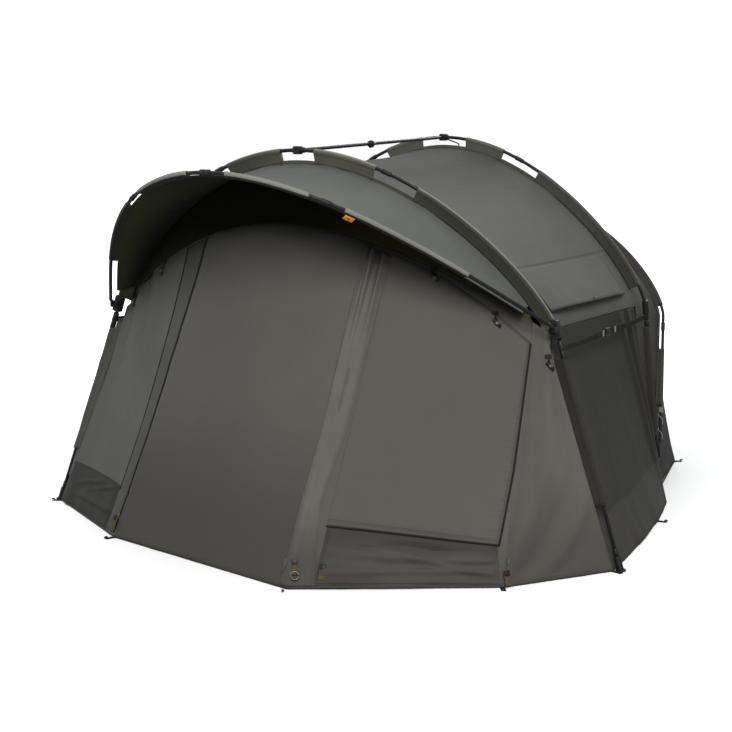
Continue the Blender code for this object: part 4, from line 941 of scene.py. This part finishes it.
FRONT_FERRULE = ((0.838, 0.0110), (0.841, 0.0128), (0.868, 0.0128), (0.871, 0.0118), (0.874, 0.0134),
                 (0.908, 0.0134), (0.912, 0.0120))
FRONT_TIP = ((0.060, 0.0095), (0.063, 0.0108), (0.085, 0.0108), (0.088, 0.0095))
REAR_FERRULE = ((0.812, 0.0105), (0.815, 0.0122), (0.838, 0.0122), (0.842, 0.0105))
for side, _ in SIDES:
    leg_tube("front", side, 0.012, (0.3, 0.6, 0.9))
    leg_ring("leg_ferrule_front_" + side, LEGS["front_" + side], FRONT_FERRULE, "front_block_" + side)
    leg_ring("leg_tip_front_" + side, LEGS["front_" + side], FRONT_TIP, "front_foot_" + side)
    leg_tube("rear", side, 0.0048, (0.3, 0.6))
    leg_ring("leg_ferrule_rear_" + side, LEGS["rear_" + side], REAR_FERRULE, "rear_collar_" + side)


# Patches, tapes and small fittings on the panels
def sample(grid, u, v):
    """Points of a grid at arrays of shares."""
    rows, wide = grid.shape[:2]
    x, y = np.clip(u, 0, 1) * (wide - 1), np.clip(v, 0, 1) * (rows - 1)
    i, j = np.minimum(x.astype(int), wide - 2), np.minimum(y.astype(int), rows - 2)
    a, b = (x - i)[..., None], (y - j)[..., None]
    low = grid[j, i] * (1 - a) + grid[j, i + 1] * a
    high = grid[j + 1, i] * (1 - a) + grid[j + 1, i + 1] * a
    return low * (1 - b) + high * b


def along(*pairs):
    """Function through pairs of a share and a value."""
    places, values = zip(*pairs)
    return lambda x: np.interp(x, places, values)


def const(value):
    return along((0.0, value))


def patch(name, panel, look, u_range, v_range, size, lift, heights):
    """Second layer of cloth over part of a panel. The ranges are pairs of functions of the other share."""
    a, b = np.meshgrid(np.linspace(0, 1, size[0]), np.linspace(0, 1, size[1]))
    v = v_range[0](a) + (v_range[1](a) - v_range[0](a)) * b
    u = u_range[0](v) + (u_range[1](v) - u_range[0](v)) * a
    edge = smooth(np.minimum(end_share(a) * size[0], end_share(b) * size[1]) / 5, 0, 1)
    height = 0.0006 + (lift + heights(a, b)) * edge
    cloth(name, sample(PANELS[panel], u, v), look, "shelter", (), height, rests=(panel,), slot=panel,
          inside=None, thick=PATCH)


def tape(name, panel, path, width, lift, crown=0.001):
    """Zip tape that follows a path of shares over a panel."""
    u, v = at(path, np.linspace(0, 1, 121)).T
    line = sample(PANELS[panel], u, v)
    face = unit(sample(normals(PANELS[panel], HEART)[0], u, v))
    across = unit(np.cross(face, np.gradient(line, axis=0)))
    offsets = np.linspace(-1, 1, 7)[:, None]
    strip = line[:, None] + across[:, None] * offsets * width / 2
    strip = strip + face[:, None] * (lift + crown * (1 - offsets ** 2))
    TAPES.setdefault(panel + "_skin", []).append(name)
    cloth(name, strip, "zip", "shelter", slot=panel, inside=None, thick=PATCH, declared=False)


# Window cover with its puckered zip side and the wrinkled flap below it
def puckers(a, b):
    pull = np.abs(np.sin(b * 123.9 + 2.0 * noise(a, b, 4, 20, 301)))
    waves = 0.0022 * (1 + noise(a, b, 3, 5, 302)) * arch(a)
    return 0.0085 * pull * np.exp(-(1 - a) / 0.045) * smooth(b, 0.02, 0.08) + waves


def mud_folds(a, b):
    folds = 0.013 * hump(b, 0.24 + 0.10 * a * a + 0.02 * noise(a, b, 4, 1, 311), 0.09)
    folds += 0.010 * hump(b, 0.62 - 0.30 * a * (1 - a), 0.09)
    folds += 0.009 * hump(b, 0.95 - 0.75 * a, 0.07) * smooth(a, 0.2, 0.5)
    return folds + 0.0025 * (1 + noise(a, b, 12, 4, 312))


# painted shadow of the hood along the cover's top edge
cover_look = fabric("cover_look", shaded(FRONT_TONE, 0.92), fade=0.06, zones=(
    (UP, 0.975, 1.01, 0.60, 0.25),), seams=(
    (ACROSS, 0.985, 0.66, 0.0012, 0.4), (UP, 0.985, 1.0, 0.0012, 0.4), (UP, 0.02, 1.0, 0.0012, 0.4)))
cover_left = along((0.15, 0.116), (0.7, 0.110), (1.0, 0.105))
cover_right = along((0.15, 0.958), (0.425, 0.984), (0.657, 0.990), (0.93, 0.995))
cover_low = along((0.0, 0.182), (1.0, 0.152))
cover_high = along((0.0, 0.990), (0.36, 0.986), (0.72, 0.960), (1.0, 0.922))
patch("window_cover", "window_panel", cover_look, (cover_left, cover_right), (cover_low, cover_high),
      (151, 161), 0.0035, puckers)
tape("window_zip_low", "window_panel", [(0.113, 0.178), (0.5, 0.166), (0.962, 0.148)], 0.0065, 0.0045)
tape("window_zip_side", "window_panel", [(0.960, 0.150), (0.987, 0.425), (0.993, 0.657), (0.997, 0.915)],
     0.0075, 0.0045)
# painted shade over the flap's upper part, below the window cover
mud_look = fabric("mud_look", shaded(FRONT_TONE, 0.66), fade=0.15, zones=(
    (UP, 0.55, 0.95, 0.6, 0.5),), seams=(
    (UP, 0.03, 0.17, 0.0012, 0.5), (ACROSS, 0.02, 0.75, 0.0012, 0.4)))
patch("mud_flap", "window_panel", mud_look, (const(0.120), along((0.0, 0.988), (0.15, 0.952))),
      (const(0.008), along((0.0, 0.176), (1.0, 0.147))), (121, 61), 0.005, mud_folds)

# Left panel: window zip, door zip with its puckers, the darker skirt and the band beside the door
tape("left_window_zip", "left_panel", [
    (0.773, 0.992), (0.81, 0.735), (0.83, 0.56), (0.853, 0.387), (0.858, 0.150)], 0.0070, 0.0020)
tape("door_zip_left", "left_panel", [
    (0.917, 0.996), (0.938, 0.85), (0.941, 0.80), (0.945, 0.765), (0.947, 0.70), (0.955, 0.65),
    (0.955, 0.585), (0.968, 0.52), (0.970, 0.46), (0.978, 0.388), (0.984, 0.32), (0.982, 0.25),
    (0.985, 0.188), (0.988, 0.10), (0.985, 0.015)], 0.0125, 0.0022, 0.003)


def skirt_folds(a, b):
    folds = 0.010 * hump(b, 0.30 + 0.10 * a, 0.07) * smooth(a, 0.1, 0.5)
    folds += 0.008 * hump(b, 0.45 + 0.6 * a, 0.05) * smooth(a, 0.1, 0.4)
    folds += 0.008 * hump(b, 0.20 + 0.75 * a, 0.05) * smooth(a, 0.4, 0.7)
    return folds + 0.002 * (1 + noise(a, b, 9, 4, 322))


skirt_look = fabric("skirt_look", shaded(LEFT_TONE, 0.36), ((UP, 0.965, 0.2, 0.0015, 0.5),), fade=0.2)
patch("left_skirt", "left_panel", skirt_look, (const(0.012), const(0.850)),
      (const(0.006), along((0.0, 0.212), (0.6, 0.180), (1.0, 0.160))), (101, 51), 0.004, skirt_folds)
band_look = fabric("band_look", shaded(LEFT_TONE, 0.86), fade=0.12, zones=TOP_SHADE, seams=(
    (ACROSS, 0.04, 0.09, 0.0010, 0.3), (ACROSS, 0.96, 0.09, 0.0010, 0.3)))
band_left = along((0.0, 0.862), (0.387, 0.857), (0.56, 0.834), (0.735, 0.814), (0.99, 0.777))
band_right = along((0.0, 0.978), (0.188, 0.977), (0.388, 0.970), (0.585, 0.947), (0.765, 0.937),
                   (0.99, 0.914))
patch("left_band", "left_panel", band_look, (band_left, band_right), (const(0.010), const(0.992)), (41, 121),
      0.0030, lambda a, b: 0.0015 * (1 + noise(b, a, 26, 2, 325)))


# Strips that close the gaps to the legs
def strip(name, start, end, count, look, slot, rests, heart=LOW_HEART):
    grid = start[:, None] + (end - start)[:, None] * np.linspace(0, 1, count)[None, :, None]
    cloth(name, grid, look, "shelter", heart=heart, thick=THIN_CLOTH, slot=slot, rests=rests)


edge = sample(PANELS["left_panel"], np.zeros(81), np.linspace(0.13, 0.985, 81))
leg = line_point(*LEGS["front_left"], edge[:, 2])
strip("left_panel_edge", edge, edge + (leg - edge) * 0.70, 9, left_look, "left_panel",
      ("left_panel", "front_leg_left"), HEART)
for side, sign in SIDES:
    gore_look = fabric("gore_look_" + side, DARK_TONE, fade=0.15)
    behind = np.array([sign * (REAR_WEB + 0.020), -0.004, 0])
    wall_slot, rear_leg = "side_wall_" + side, LEGS["rear_" + side]
    wall = at(SIDE_ENDS[side], np.linspace(0, 1, 61))
    strip("rear_gore_" + side, wall, line_point(*rear_leg, wall[:, 2]) - behind, 13, gore_look, wall_slot,
          (wall_slot, "rear_leg_" + side))
    bay = BACK_ENDS[side][BACK_ENDS[side][:, 2] < 0.185]
    strip("rear_foot_gore_" + side, line_point(*rear_leg, bay[:, 2]) - behind, bay, 9, gore_look, "back_wall",
          ("back_wall",))

# Storm flap over the seam between door and window panel, with three folds at its top
SEAM_SHARE = 0.42
s, b = np.meshgrid(np.linspace(0, 1, 61), np.linspace(0, 1, 141))
v = 0.006 + 0.974 * b
door_u = along((0.0, 0.958), (0.25, 0.962), (0.45, 0.974), (0.75, 0.962), (1.0, 0.968))(v)
window_u = along((0.0, 0.128), (0.06, 0.110), (0.24, 0.060), (0.43, 0.097), (0.75, 0.105), (1.0, 0.110))(v)
on_door = sample(PANELS["door"], door_u + (1 - door_u) * np.clip(s / SEAM_SHARE, 0, 1), v)
on_window = sample(PANELS["window_panel"], window_u * np.clip((s - SEAM_SHARE) / (1 - SEAM_SHARE), 0, 1), v)
grid = np.where((s < SEAM_SHARE)[..., None], on_door, on_window)
for _ in range(3):
    grid[:, 20:32] = (grid[:, 19:31] + grid[:, 20:32] * 2 + grid[:, 21:33]) / 4
height = 0.0014 + 0.0060 * smooth(end_share(s), 0, 0.12)
for where, deep in ((0.14, 0.022), (0.46, 0.027), (0.80, 0.023)):
    height += deep * hump(s, where + 0.05 * (1 - v), 0.070) * smooth(v, 0.62, 0.95)
waves = 0.006 * noise(s, b, 3, 5, 331) + 0.003 * hump(s, 0.3, 0.12) - 0.003 * hump(s, 0.62, 0.1)
height += waves * smooth(end_share(s), 0, 0.15)
# painted shadow of the hood along the flap's top, and darker towards the bottom
flap_look = fabric("flap_look", shaded(FRONT_TONE, 1.12), fade=0.14, zones=(
    (UP, 0.955, 1.005, 0.70, 0.22), (UP, 0.25, 0.02, 0.7, 0.5)), seams=(
    (ACROSS, 0.06, 0.11, 0.0010, 0.25), (ACROSS, 0.94, 0.11, 0.0010, 0.25)))
cloth("storm_flap_skin", grid, flap_look, "door_leaf", ("storm_flap",), height, rests=("door",), held="hung",
      thick=THIN_CLOTH)

# Vent cowls with a stiff curved lip, and the mesh they cover
COWL_TOP, COWL_LIP, MESH_LIP, MESH_TOP = 0.118, 0.034, 0.046, 0.076


def roof_part(sign, share, depth):
    """Points between the front and the rear rib, at shares of their lengths and of the way between them."""
    share = share if sign < 0 else 1 - share
    front, rear = FRONT(share, FRONT_WEB), REAR(share, REAR_WEB)
    return front + (rear - front) * depth[..., None]


for side, sign in SIDES:
    body, slot = "cowl_" + side, "vent_cowl_" + side
    w, t = np.meshgrid(np.linspace(0, 1, 81), np.linspace(0, 1, 31))
    base = roof_part(sign, COWL_TOP + (COWL_LIP - COWL_TOP) * t, 0.13 + 0.77 * w)
    lift = 0.0012 + 0.0240 * t ** 1.3 * (0.35 + 0.65 * smooth(end_share(w), 0, 0.16))
    lift += 0.004 * smooth(t, 0.9, 1.0) * smooth(w, 0.9, 1.0) + 0.0015 * noise(w, t, 12, 3, 341) * t
    look = fabric("cowl_look_" + side, shaded(ROOF_TONE, 1.04), fade=0.08, seams=(
        (UP, 0.95, 0.28, 0.0012, 0.4), (ACROSS, 0.015, 1.1, 0.0014, 0.4)))
    cloth("vent_cowl_skin_" + side, base, look, body, (slot,), lift, heart=ROOF_HEART, thick=0.0014,
          rests=("roof",))
    out = normals(base, ROOF_HEART)[0][-1]
    lip = raised(base, lift, ROOF_HEART)[-1]
    tube("cowl_wire_" + side, lip - out * 0.0006, 0.0034, "leg_cloth", body, sides=10, slot=slot)
    way = unit(lip[44] - lip[40])
    face = out[42]
    bar("cowl_tag_" + side, (0.016, 0.004, 0.026), (way, face, np.cross(way, face)), lip[42] - face * 0.002,
        "strap", body, slot=slot)
    mesh = roof_part(sign, MESH_LIP + (MESH_TOP - MESH_LIP) * t, 0.16 + 0.70 * w)
    cloth("vent_mesh_" + side, mesh, "shade", "shelter", (), np.full_like(w, 0.0008), heart=ROOF_HEART,
          thick=0.0004, rests=("roof",), slot="roof")

# Ridge bar with its knob, and the link at the rear crown
KNOB_SHARE = 0.45
rear_crown = REAR(0.5)
bar_start = FRONT(0.5) + np.array([0, 0.034, 0])
bar_run = unit(rear_crown - bar_start)
length = np.linalg.norm(rear_crown - bar_start) - 0.018
knob_at = length * KNOB_SHARE
steps = {knob_at + way * k for k in (JOINT_LENGTH / 2, JOINT_LENGTH / 2 + STEP) for way in (-1, 1)}
run = np.array(sorted({*np.linspace(0.006, length, 60), *steps}))
tube("ridge_bar_skin", bar_start + bar_run * run[:, None], swollen(run, knob_at, BAR_TUBE), "tube", "bar",
     ("ridge_bar",), stepped=BAR_TUBE + 0.001)
spool("ridge_eye", bar_start, (1, 0, 0), ((0.0075, 0.0105), (0.0080, 0.0100)), "joint", "bar",
      slot="ridge_bar")
knob = bar_start + bar_run * knob_at
spool("ridge_knob", knob, bar_run, ((0.004, 0.0160), (0.012, 0.0150), (0.013, 0.0120)), "joint", "bar",
      slot="ridge_bar")
lean = unit(np.array([0, -0.2, 1]))
bar("ridge_lever", (0.010, 0.030, 0.006), ([1, 0, 0], np.cross([1, 0, 0], lean), lean),
    knob + np.array([0, 0.004, -0.0135]), "joint", "bar", slot="ridge_bar")
hook = REAR(0.530, 0.030)
link = [rear_crown + (0.018, 0, -0.010), hook + (-0.004, 0, 0.004), hook + (0.0, 0, -0.006)]
tube("crown_link", at(link, np.linspace(0, 1, 9)), 0.0034, "joint", "shelter", sides=10,
     slot="rear_rib_sleeve")

# Side straps, their loops and the buckles' bright slots
STRAP_HALF, LOOP_REACH = 0.012, 0.0095
STRAP_LOOP = ((0.0120, 0.0108), (0.0125, 0.0100))
for side, sign in SIDES:
    foot, top = LEGS["front_" + side]
    start, leg_run = line_point(foot, top, 0.880), unit(top - foot)
    foot, top = LEGS["rear_" + side]
    end, rear_run = line_point(foot, top, 0.860), unit(top - foot)
    run, mouth = unit(end - start), (start + end) / 2
    out = unit(np.array([sign, 0, 0]) - run * run[0] * sign)
    up = np.cross(out, run) * sign
    turn = (run, out, up)
    parts = {"front": (start + run * LOOP_REACH, mouth - run * 0.030, start, leg_run, -0.130, 0.045),
             "rear": (mouth + run * 0.006, end - run * LOOP_REACH, end, rear_run, 0.155, -0.045)}
    t, w = np.linspace(0, 1, 61)[:, None, None], np.linspace(-1, 1, 7)[None, :, None]
    slack = -0.004 * arch(t) * smooth(t, 0.14, 0.4) * smooth(1 - t, 0.14, 0.4) * up
    for label, (first, last, *_) in parts.items():
        grid = first + (last - first) * t + up * w * STRAP_HALF + slack + out * 0.001
        cloth("strap_" + label + "_skin_" + side, grid, "strap", "shelter", ("strap_" + label + "_" + side,),
              heart=tuple(mouth - out), inside=None, thick=WEBBING,
              rests=("front_leg_" + side, "rear_leg_" + side))
    for label, (_, _, spot, way, *_) in parts.items():
        spool("strap_loop_" + label + "_" + side, spot, way, STRAP_LOOP, "strap", "shelter",
              slot="strap_" + label + "_" + side)
    for label, (*_, shift, glint) in parts.items():
        slot, middle = "strap_" + label + "_" + side, mouth + run * shift
        bar("strap_double_" + label + "_" + side, (0.130, 0.0070, 0.030), turn, middle, "strap", "shelter",
            slot=slot, ease=0.3)
        bar("strap_glint_" + label + "_" + side, (0.020, 0.0024, 0.026), turn,
            middle + run * glint + out * 0.0040, "steel", "shelter", slot=slot)
    bar("buckle_rib_" + side, (0.018, 0.0020, 0.014), turn, mouth - run * 0.014 + out * 0.0085, "joint",
        "shelter", slot="buckle_socket_" + side)


# Toggles, zip pulls, ground loops and pegs
def seat(panel, u, v):
    """Point of a panel, with its directions across, down and out."""
    grid = PANELS[panel]
    u, v = np.array(u), np.array(v)
    face = unit(sample(normals(grid, HEART)[0], u, v))
    low = unit(np.array([0, 0, -1.0]) + face * face[2])
    return sample(grid, u, v), np.cross(face, low), low, face


SPOOL = ((0.12, 0.0050), (0.20, 0.0074), (0.47, 0.0070), (0.50, 0.0048))


def toggle(name, panel, u, v, tilt=0.7, size=0.044, lift=0.012):
    """Spool of a roll-up toggle, its elastic loop, the patch that keeps the loop and a clip."""
    spot, across, low, face = seat(panel, u, v)
    turn, keep = (across, low, face), {"body": "shelter", "slot": panel}
    centre = spot + face * lift
    way = unit(low * math.cos(tilt) + across * math.sin(tilt))
    spool(name, centre, way, [(k * size, r) for k, r in SPOOL], "block", sides=12, **keep)
    loop = [centre + face * 0.0045, centre - low * 0.014, centre - low * 0.030 - face * (lift - 0.003),
            centre - low * 0.040 - face * (lift - 0.001)]
    tube(name + "_loop", at(loop, np.linspace(0, 1, 13)), 0.0034, "strap", sides=8, **keep)
    bar(name + "_keep", (0.030, 0.018, 0.0022), turn, spot + face * 0.0022 - low * 0.040, "strap", **keep)
    bar(name + "_clip", (0.016, 0.012, 0.009), turn, centre + face * 0.004 + low * 0.002, "dark_steel",
        **keep)


toggle("toggle_left_1", "left_panel", 0.570, 0.962, 0.05, 0.040)
toggle("toggle_left_2", "left_panel", 0.222, 0.948, 0.05, 0.040)
toggle("toggle_right_1", "window_panel", 0.377, 0.970)
toggle("toggle_right_2", "window_panel", 0.773, 0.922)
toggle("toggle_right_3", "right_panel", 0.557, 0.857)


def pull(name, panel, u, v, ring=False, **keep):
    """Webbing tail and bead at the lower end of a zip, and a ring on the storm flap's."""
    keep = keep or {"body": "shelter", "slot": panel}
    spot, across, low, face = seat(panel, u, v)
    turn = (across, low, face)
    bar(name + "_tail", (0.026, 0.062, 0.004), turn, spot + face * 0.012, "loop", **keep)
    bar(name + "_bead", (0.022, 0.020, 0.012), turn, spot + face * 0.015 - low * 0.020, "block", **keep)
    if ring:
        a = np.linspace(0, 2 * math.pi, 25)[:, None]
        centre = spot + face * 0.013 + low * 0.034
        points = centre + 0.016 * (np.cos(a) * across + np.sin(a) * low)
        tube(name + "_ring", points, 0.0036, "dark_steel", sides=8, **keep)


pull("zip_tail_left", "left_panel", 0.978, 0.046)
pull("zip_tail_door", "window_panel", 0.012, 0.060, ring=True, body="door_leaf", slot="storm_flap")
pull("zip_tail_window", "right_panel", 0.02, 0.030)
pull("zip_tail_cover", "window_panel", 0.150, 0.045)


def peg(name, corner, way, loop):
    """Webbing loop at a floor corner with a hooked steel peg in it."""
    way = unit(np.array([*way, 0.0]))
    aside = np.array([-way[1], way[0], 0.0])
    rise = np.array([0, 0, 1.0])
    spot = floor_at(corner, 0.0)
    if loop:
        t = np.linspace(0, 1, 17)[:, None, None]
        w = np.linspace(-1, 1, 5)[None, :, None]
        lift = rise * (0.0030 + 0.003 * np.sin(np.pi * t) ** 2 * (1 - t))
        grid = spot + way * (-0.010 + 0.050 * t) + aside * w * 0.010 + lift
        cloth(name + "_loop", grid, "strap", "shelter", heart=(spot[0], spot[1], -1.0), inside=None,
              thick=WEBBING, held="laid", slot="groundsheet", rests=("groundsheet",))
    base = spot + way * 0.032
    a = np.linspace(-0.2 * math.pi, math.pi, 13)[:, None]
    hook = base + way * 0.006 * (1 - np.cos(a)) + rise * (0.006 + 0.004 * np.sin(a))
    tube(name + "_hook", [base + rise * 0.004, *hook], 0.0036, "block", "shelter", sides=8,
         slot="groundsheet")


# The foot of the storm flap has no loop, because the door comes down on it when it opens
for name, corner, way in (
        ("peg_left", LEFT_CORNER, (-1, -0.35)), ("peg_door_left", DOOR_LEFT, (-0.5, -0.85)),
        ("peg_door_right", DOOR_RIGHT, (0.1, -1)), ("peg_window", WINDOW_RIGHT, (0.5, -0.85)),
        ("peg_right", RIGHT_CORNER, (1, -0.35)), ("peg_side_right", SIDE_LINE[2], (1, 0.1)),
        ("peg_side_left", mirror(SIDE_LINE[2]), (-1, 0.1)), ("peg_back_right", BACK_LINE[1], (0.7, 0.7)),
        ("peg_back_left", mirror(BACK_LINE[1]), (-0.7, 0.7)), ("peg_back", BACK_LINE[2], (0, 1))):
    peg(name, corner, way, loop=name != "peg_door_right")

# Plain tab on the hood rib, with its eyelet
TAB_SHARE = 0.683
tab_along = unit(HOOD(TAB_SHARE + 0.002) - HOOD(TAB_SHARE - 0.002))
tab_down = unit(HOOD(TAB_SHARE, HOOD_WEB) - HOOD(TAB_SHARE))
tab_front = np.cross(tab_along, tab_down)
tab_front = tab_front if tab_front[1] < 0 else -tab_front
tab_at, tab_turn = HOOD(TAB_SHARE, 0.024) + tab_front * 0.0142, (tab_along, tab_front, tab_down)
bar("rib_tab_skin", (0.040, 0.0020, 0.034), tab_turn, tab_at, "orange", "hood_frame", ("rib_tab",))
bar("rib_tab_eyelet", (0.009, 0.0012, 0.009), tab_turn, tab_at + tab_front * 0.0014, "leg_cloth",
    "hood_frame", slot="rib_tab")

# Light cord round the back rib's legs: a long winding from the low block, then close turns at its upper end
CORD, WINDING = 0.0026, 0.0108
for side, sign in SIDES:
    t = np.linspace(0, 1, 361)
    share = 0.008 + 0.052 * t
    turns = 2 * math.pi * (2.6 * t + 5.0 * smooth(t, 0.76, 0.96))
    share = share if sign < 0 else 1 - share
    line = BACK(share, inward=WINDING * np.cos(turns), aside=WINDING * np.sin(turns))
    thing = tube("lacing_cord_" + side, line, CORD / 2, "cord", "back_frame", sides=8,
                 slot="back_rib_tube_" + side)
    length = float(lengths_along(line)[-1])

# Solids that are shown themselves: eased edges and their own finish
SHOWN = {"block": ("front_block_left", "front_block_right", "rear_block_left", "rear_block_right",
                   "bar_bracket", "bar_clip"),
         "joint": ("rear_collar_left", "rear_collar_right", "front_foot_left", "front_foot_right"),
         "buckle": ("buckle_socket_left", "buckle_socket_right", "buckle_plug_left", "buckle_plug_right"),
         "dark_steel": ("zip_slider_left", "zip_slider_door", "zip_slider_window")}
for look, names in SHOWN.items():
    for name in names:
        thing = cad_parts[name]
        thing.data.materials.clear()
        thing.data.materials.append(LOOKS[look])
        thing.modifiers.new("join", "WELD").merge_threshold = 0.00002
        ease = thing.modifiers.new("ease", "BEVEL")
        ease.width, ease.segments = 0.0009, 2
        ease.limit_method, ease.angle_limit = "ANGLE", math.radians(38)

# Stage: white floor, soft lights and the photograph's camera
WHITE, FLOOR_HALF = (0.93, 0.93, 0.93), 40
LAMPS = (("key", (4.2, -7.0, 5.4), (0, 0, 0.8), 3.2, 800.0, (1.0, 0.985, 0.96)),
         ("top", (-0.5, 0.5, 6.5), (0, 0.2, 0.5), 5.0, 150.0, (0.97, 0.985, 1.0)),
         ("left", (-6.5, -3.5, 3.5), (0, 0, 0.8), 3.5, 150.0, (0.96, 0.98, 1.0)),
         ("rear", (-1.0, 8.0, 3.6), (0, 0.6, 0.8), 3.5, 200.0, (0.98, 0.99, 1.0)))
CAMERA_AT, CAMERA_LENS, CAMERA_SENSOR = (3.3195, -6.8465, 1.7971), 79.21, 36.0
CAMERA_TURN = ((0.89332, -0.06738, 0.44434), (0.44942, 0.13393, -0.88322), (0.0, 0.98870, 0.14993))


def on_stage(name, data):
    thing = bpy.data.objects.new(name, data)
    bpy.context.scene.collection.objects.link(thing)
    return thing


def floor():
    """White floor that takes the shadow; far from the tent it shines white for the camera."""
    mesh = bpy.data.meshes.new("floor")
    corners = [(x * FLOOR_HALF, y * FLOOR_HALF, 0) for x, y in ((-1, -1), (1, -1), (1, 1), (-1, 1))]
    mesh.from_pydata(corners, [], [(0, 1, 2, 3)])
    made = Surface("floor_white")
    away = made.add("ShaderNodeVectorMath", {0: made.place()}, "Value", operation="LENGTH")
    shown = made.shown()
    for socket, value in (("Base Color", made.mix(shown, (0.34, 0.34, 0.34), WHITE)), ("Roughness", 0.9),
                          ("Specular IOR Level", 0.0), ("Emission Color", (1, 1, 1)),
                          ("Emission Strength", away.ramp(2.2, 5.0) * shown)):
        made.put(value, made.shader.inputs[socket])
    mesh.materials.append(made.material)
    on_stage("floor", mesh)


def studio():
    """World that lights softly and shows white, and four square lamps."""
    world = bpy.data.worlds.new("studio")
    bpy.context.scene.world = world
    made = Nodes(world)
    back, shown = made.tree.nodes["Background"], made.shown()
    made.put(made.mix(shown, (0.62, 0.64, 0.66), (1.0, 1.0, 1.0)), back.inputs["Color"])
    made.put(shown.ramp(0.0, 1.0, 0.75, 1.0), back.inputs["Strength"])
    for name, place, goal, size, power, colour in LAMPS:
        light = bpy.data.lights.new(name, "AREA")
        light.shape, light.size = "SQUARE", size
        light.energy, light.color = power, colour
        lamp = on_stage(name, light)
        lamp.location = place
        lamp.rotation_euler = (Vector(goal) - Vector(place)).to_track_quat("-Z", "Y").to_euler()


def camera():
    eye = bpy.data.cameras.new("camera")
    eye.lens, eye.sensor_width, eye.clip_end = CAMERA_LENS, CAMERA_SENSOR, 200.0
    thing = on_stage("camera", eye)
    thing.matrix_world = Matrix.Translation(CAMERA_AT) @ Matrix(CAMERA_TURN).to_4x4()
    bpy.context.scene.camera = thing


floor()
studio()
camera()
bpy.context.scene.view_settings.view_transform = "Standard"
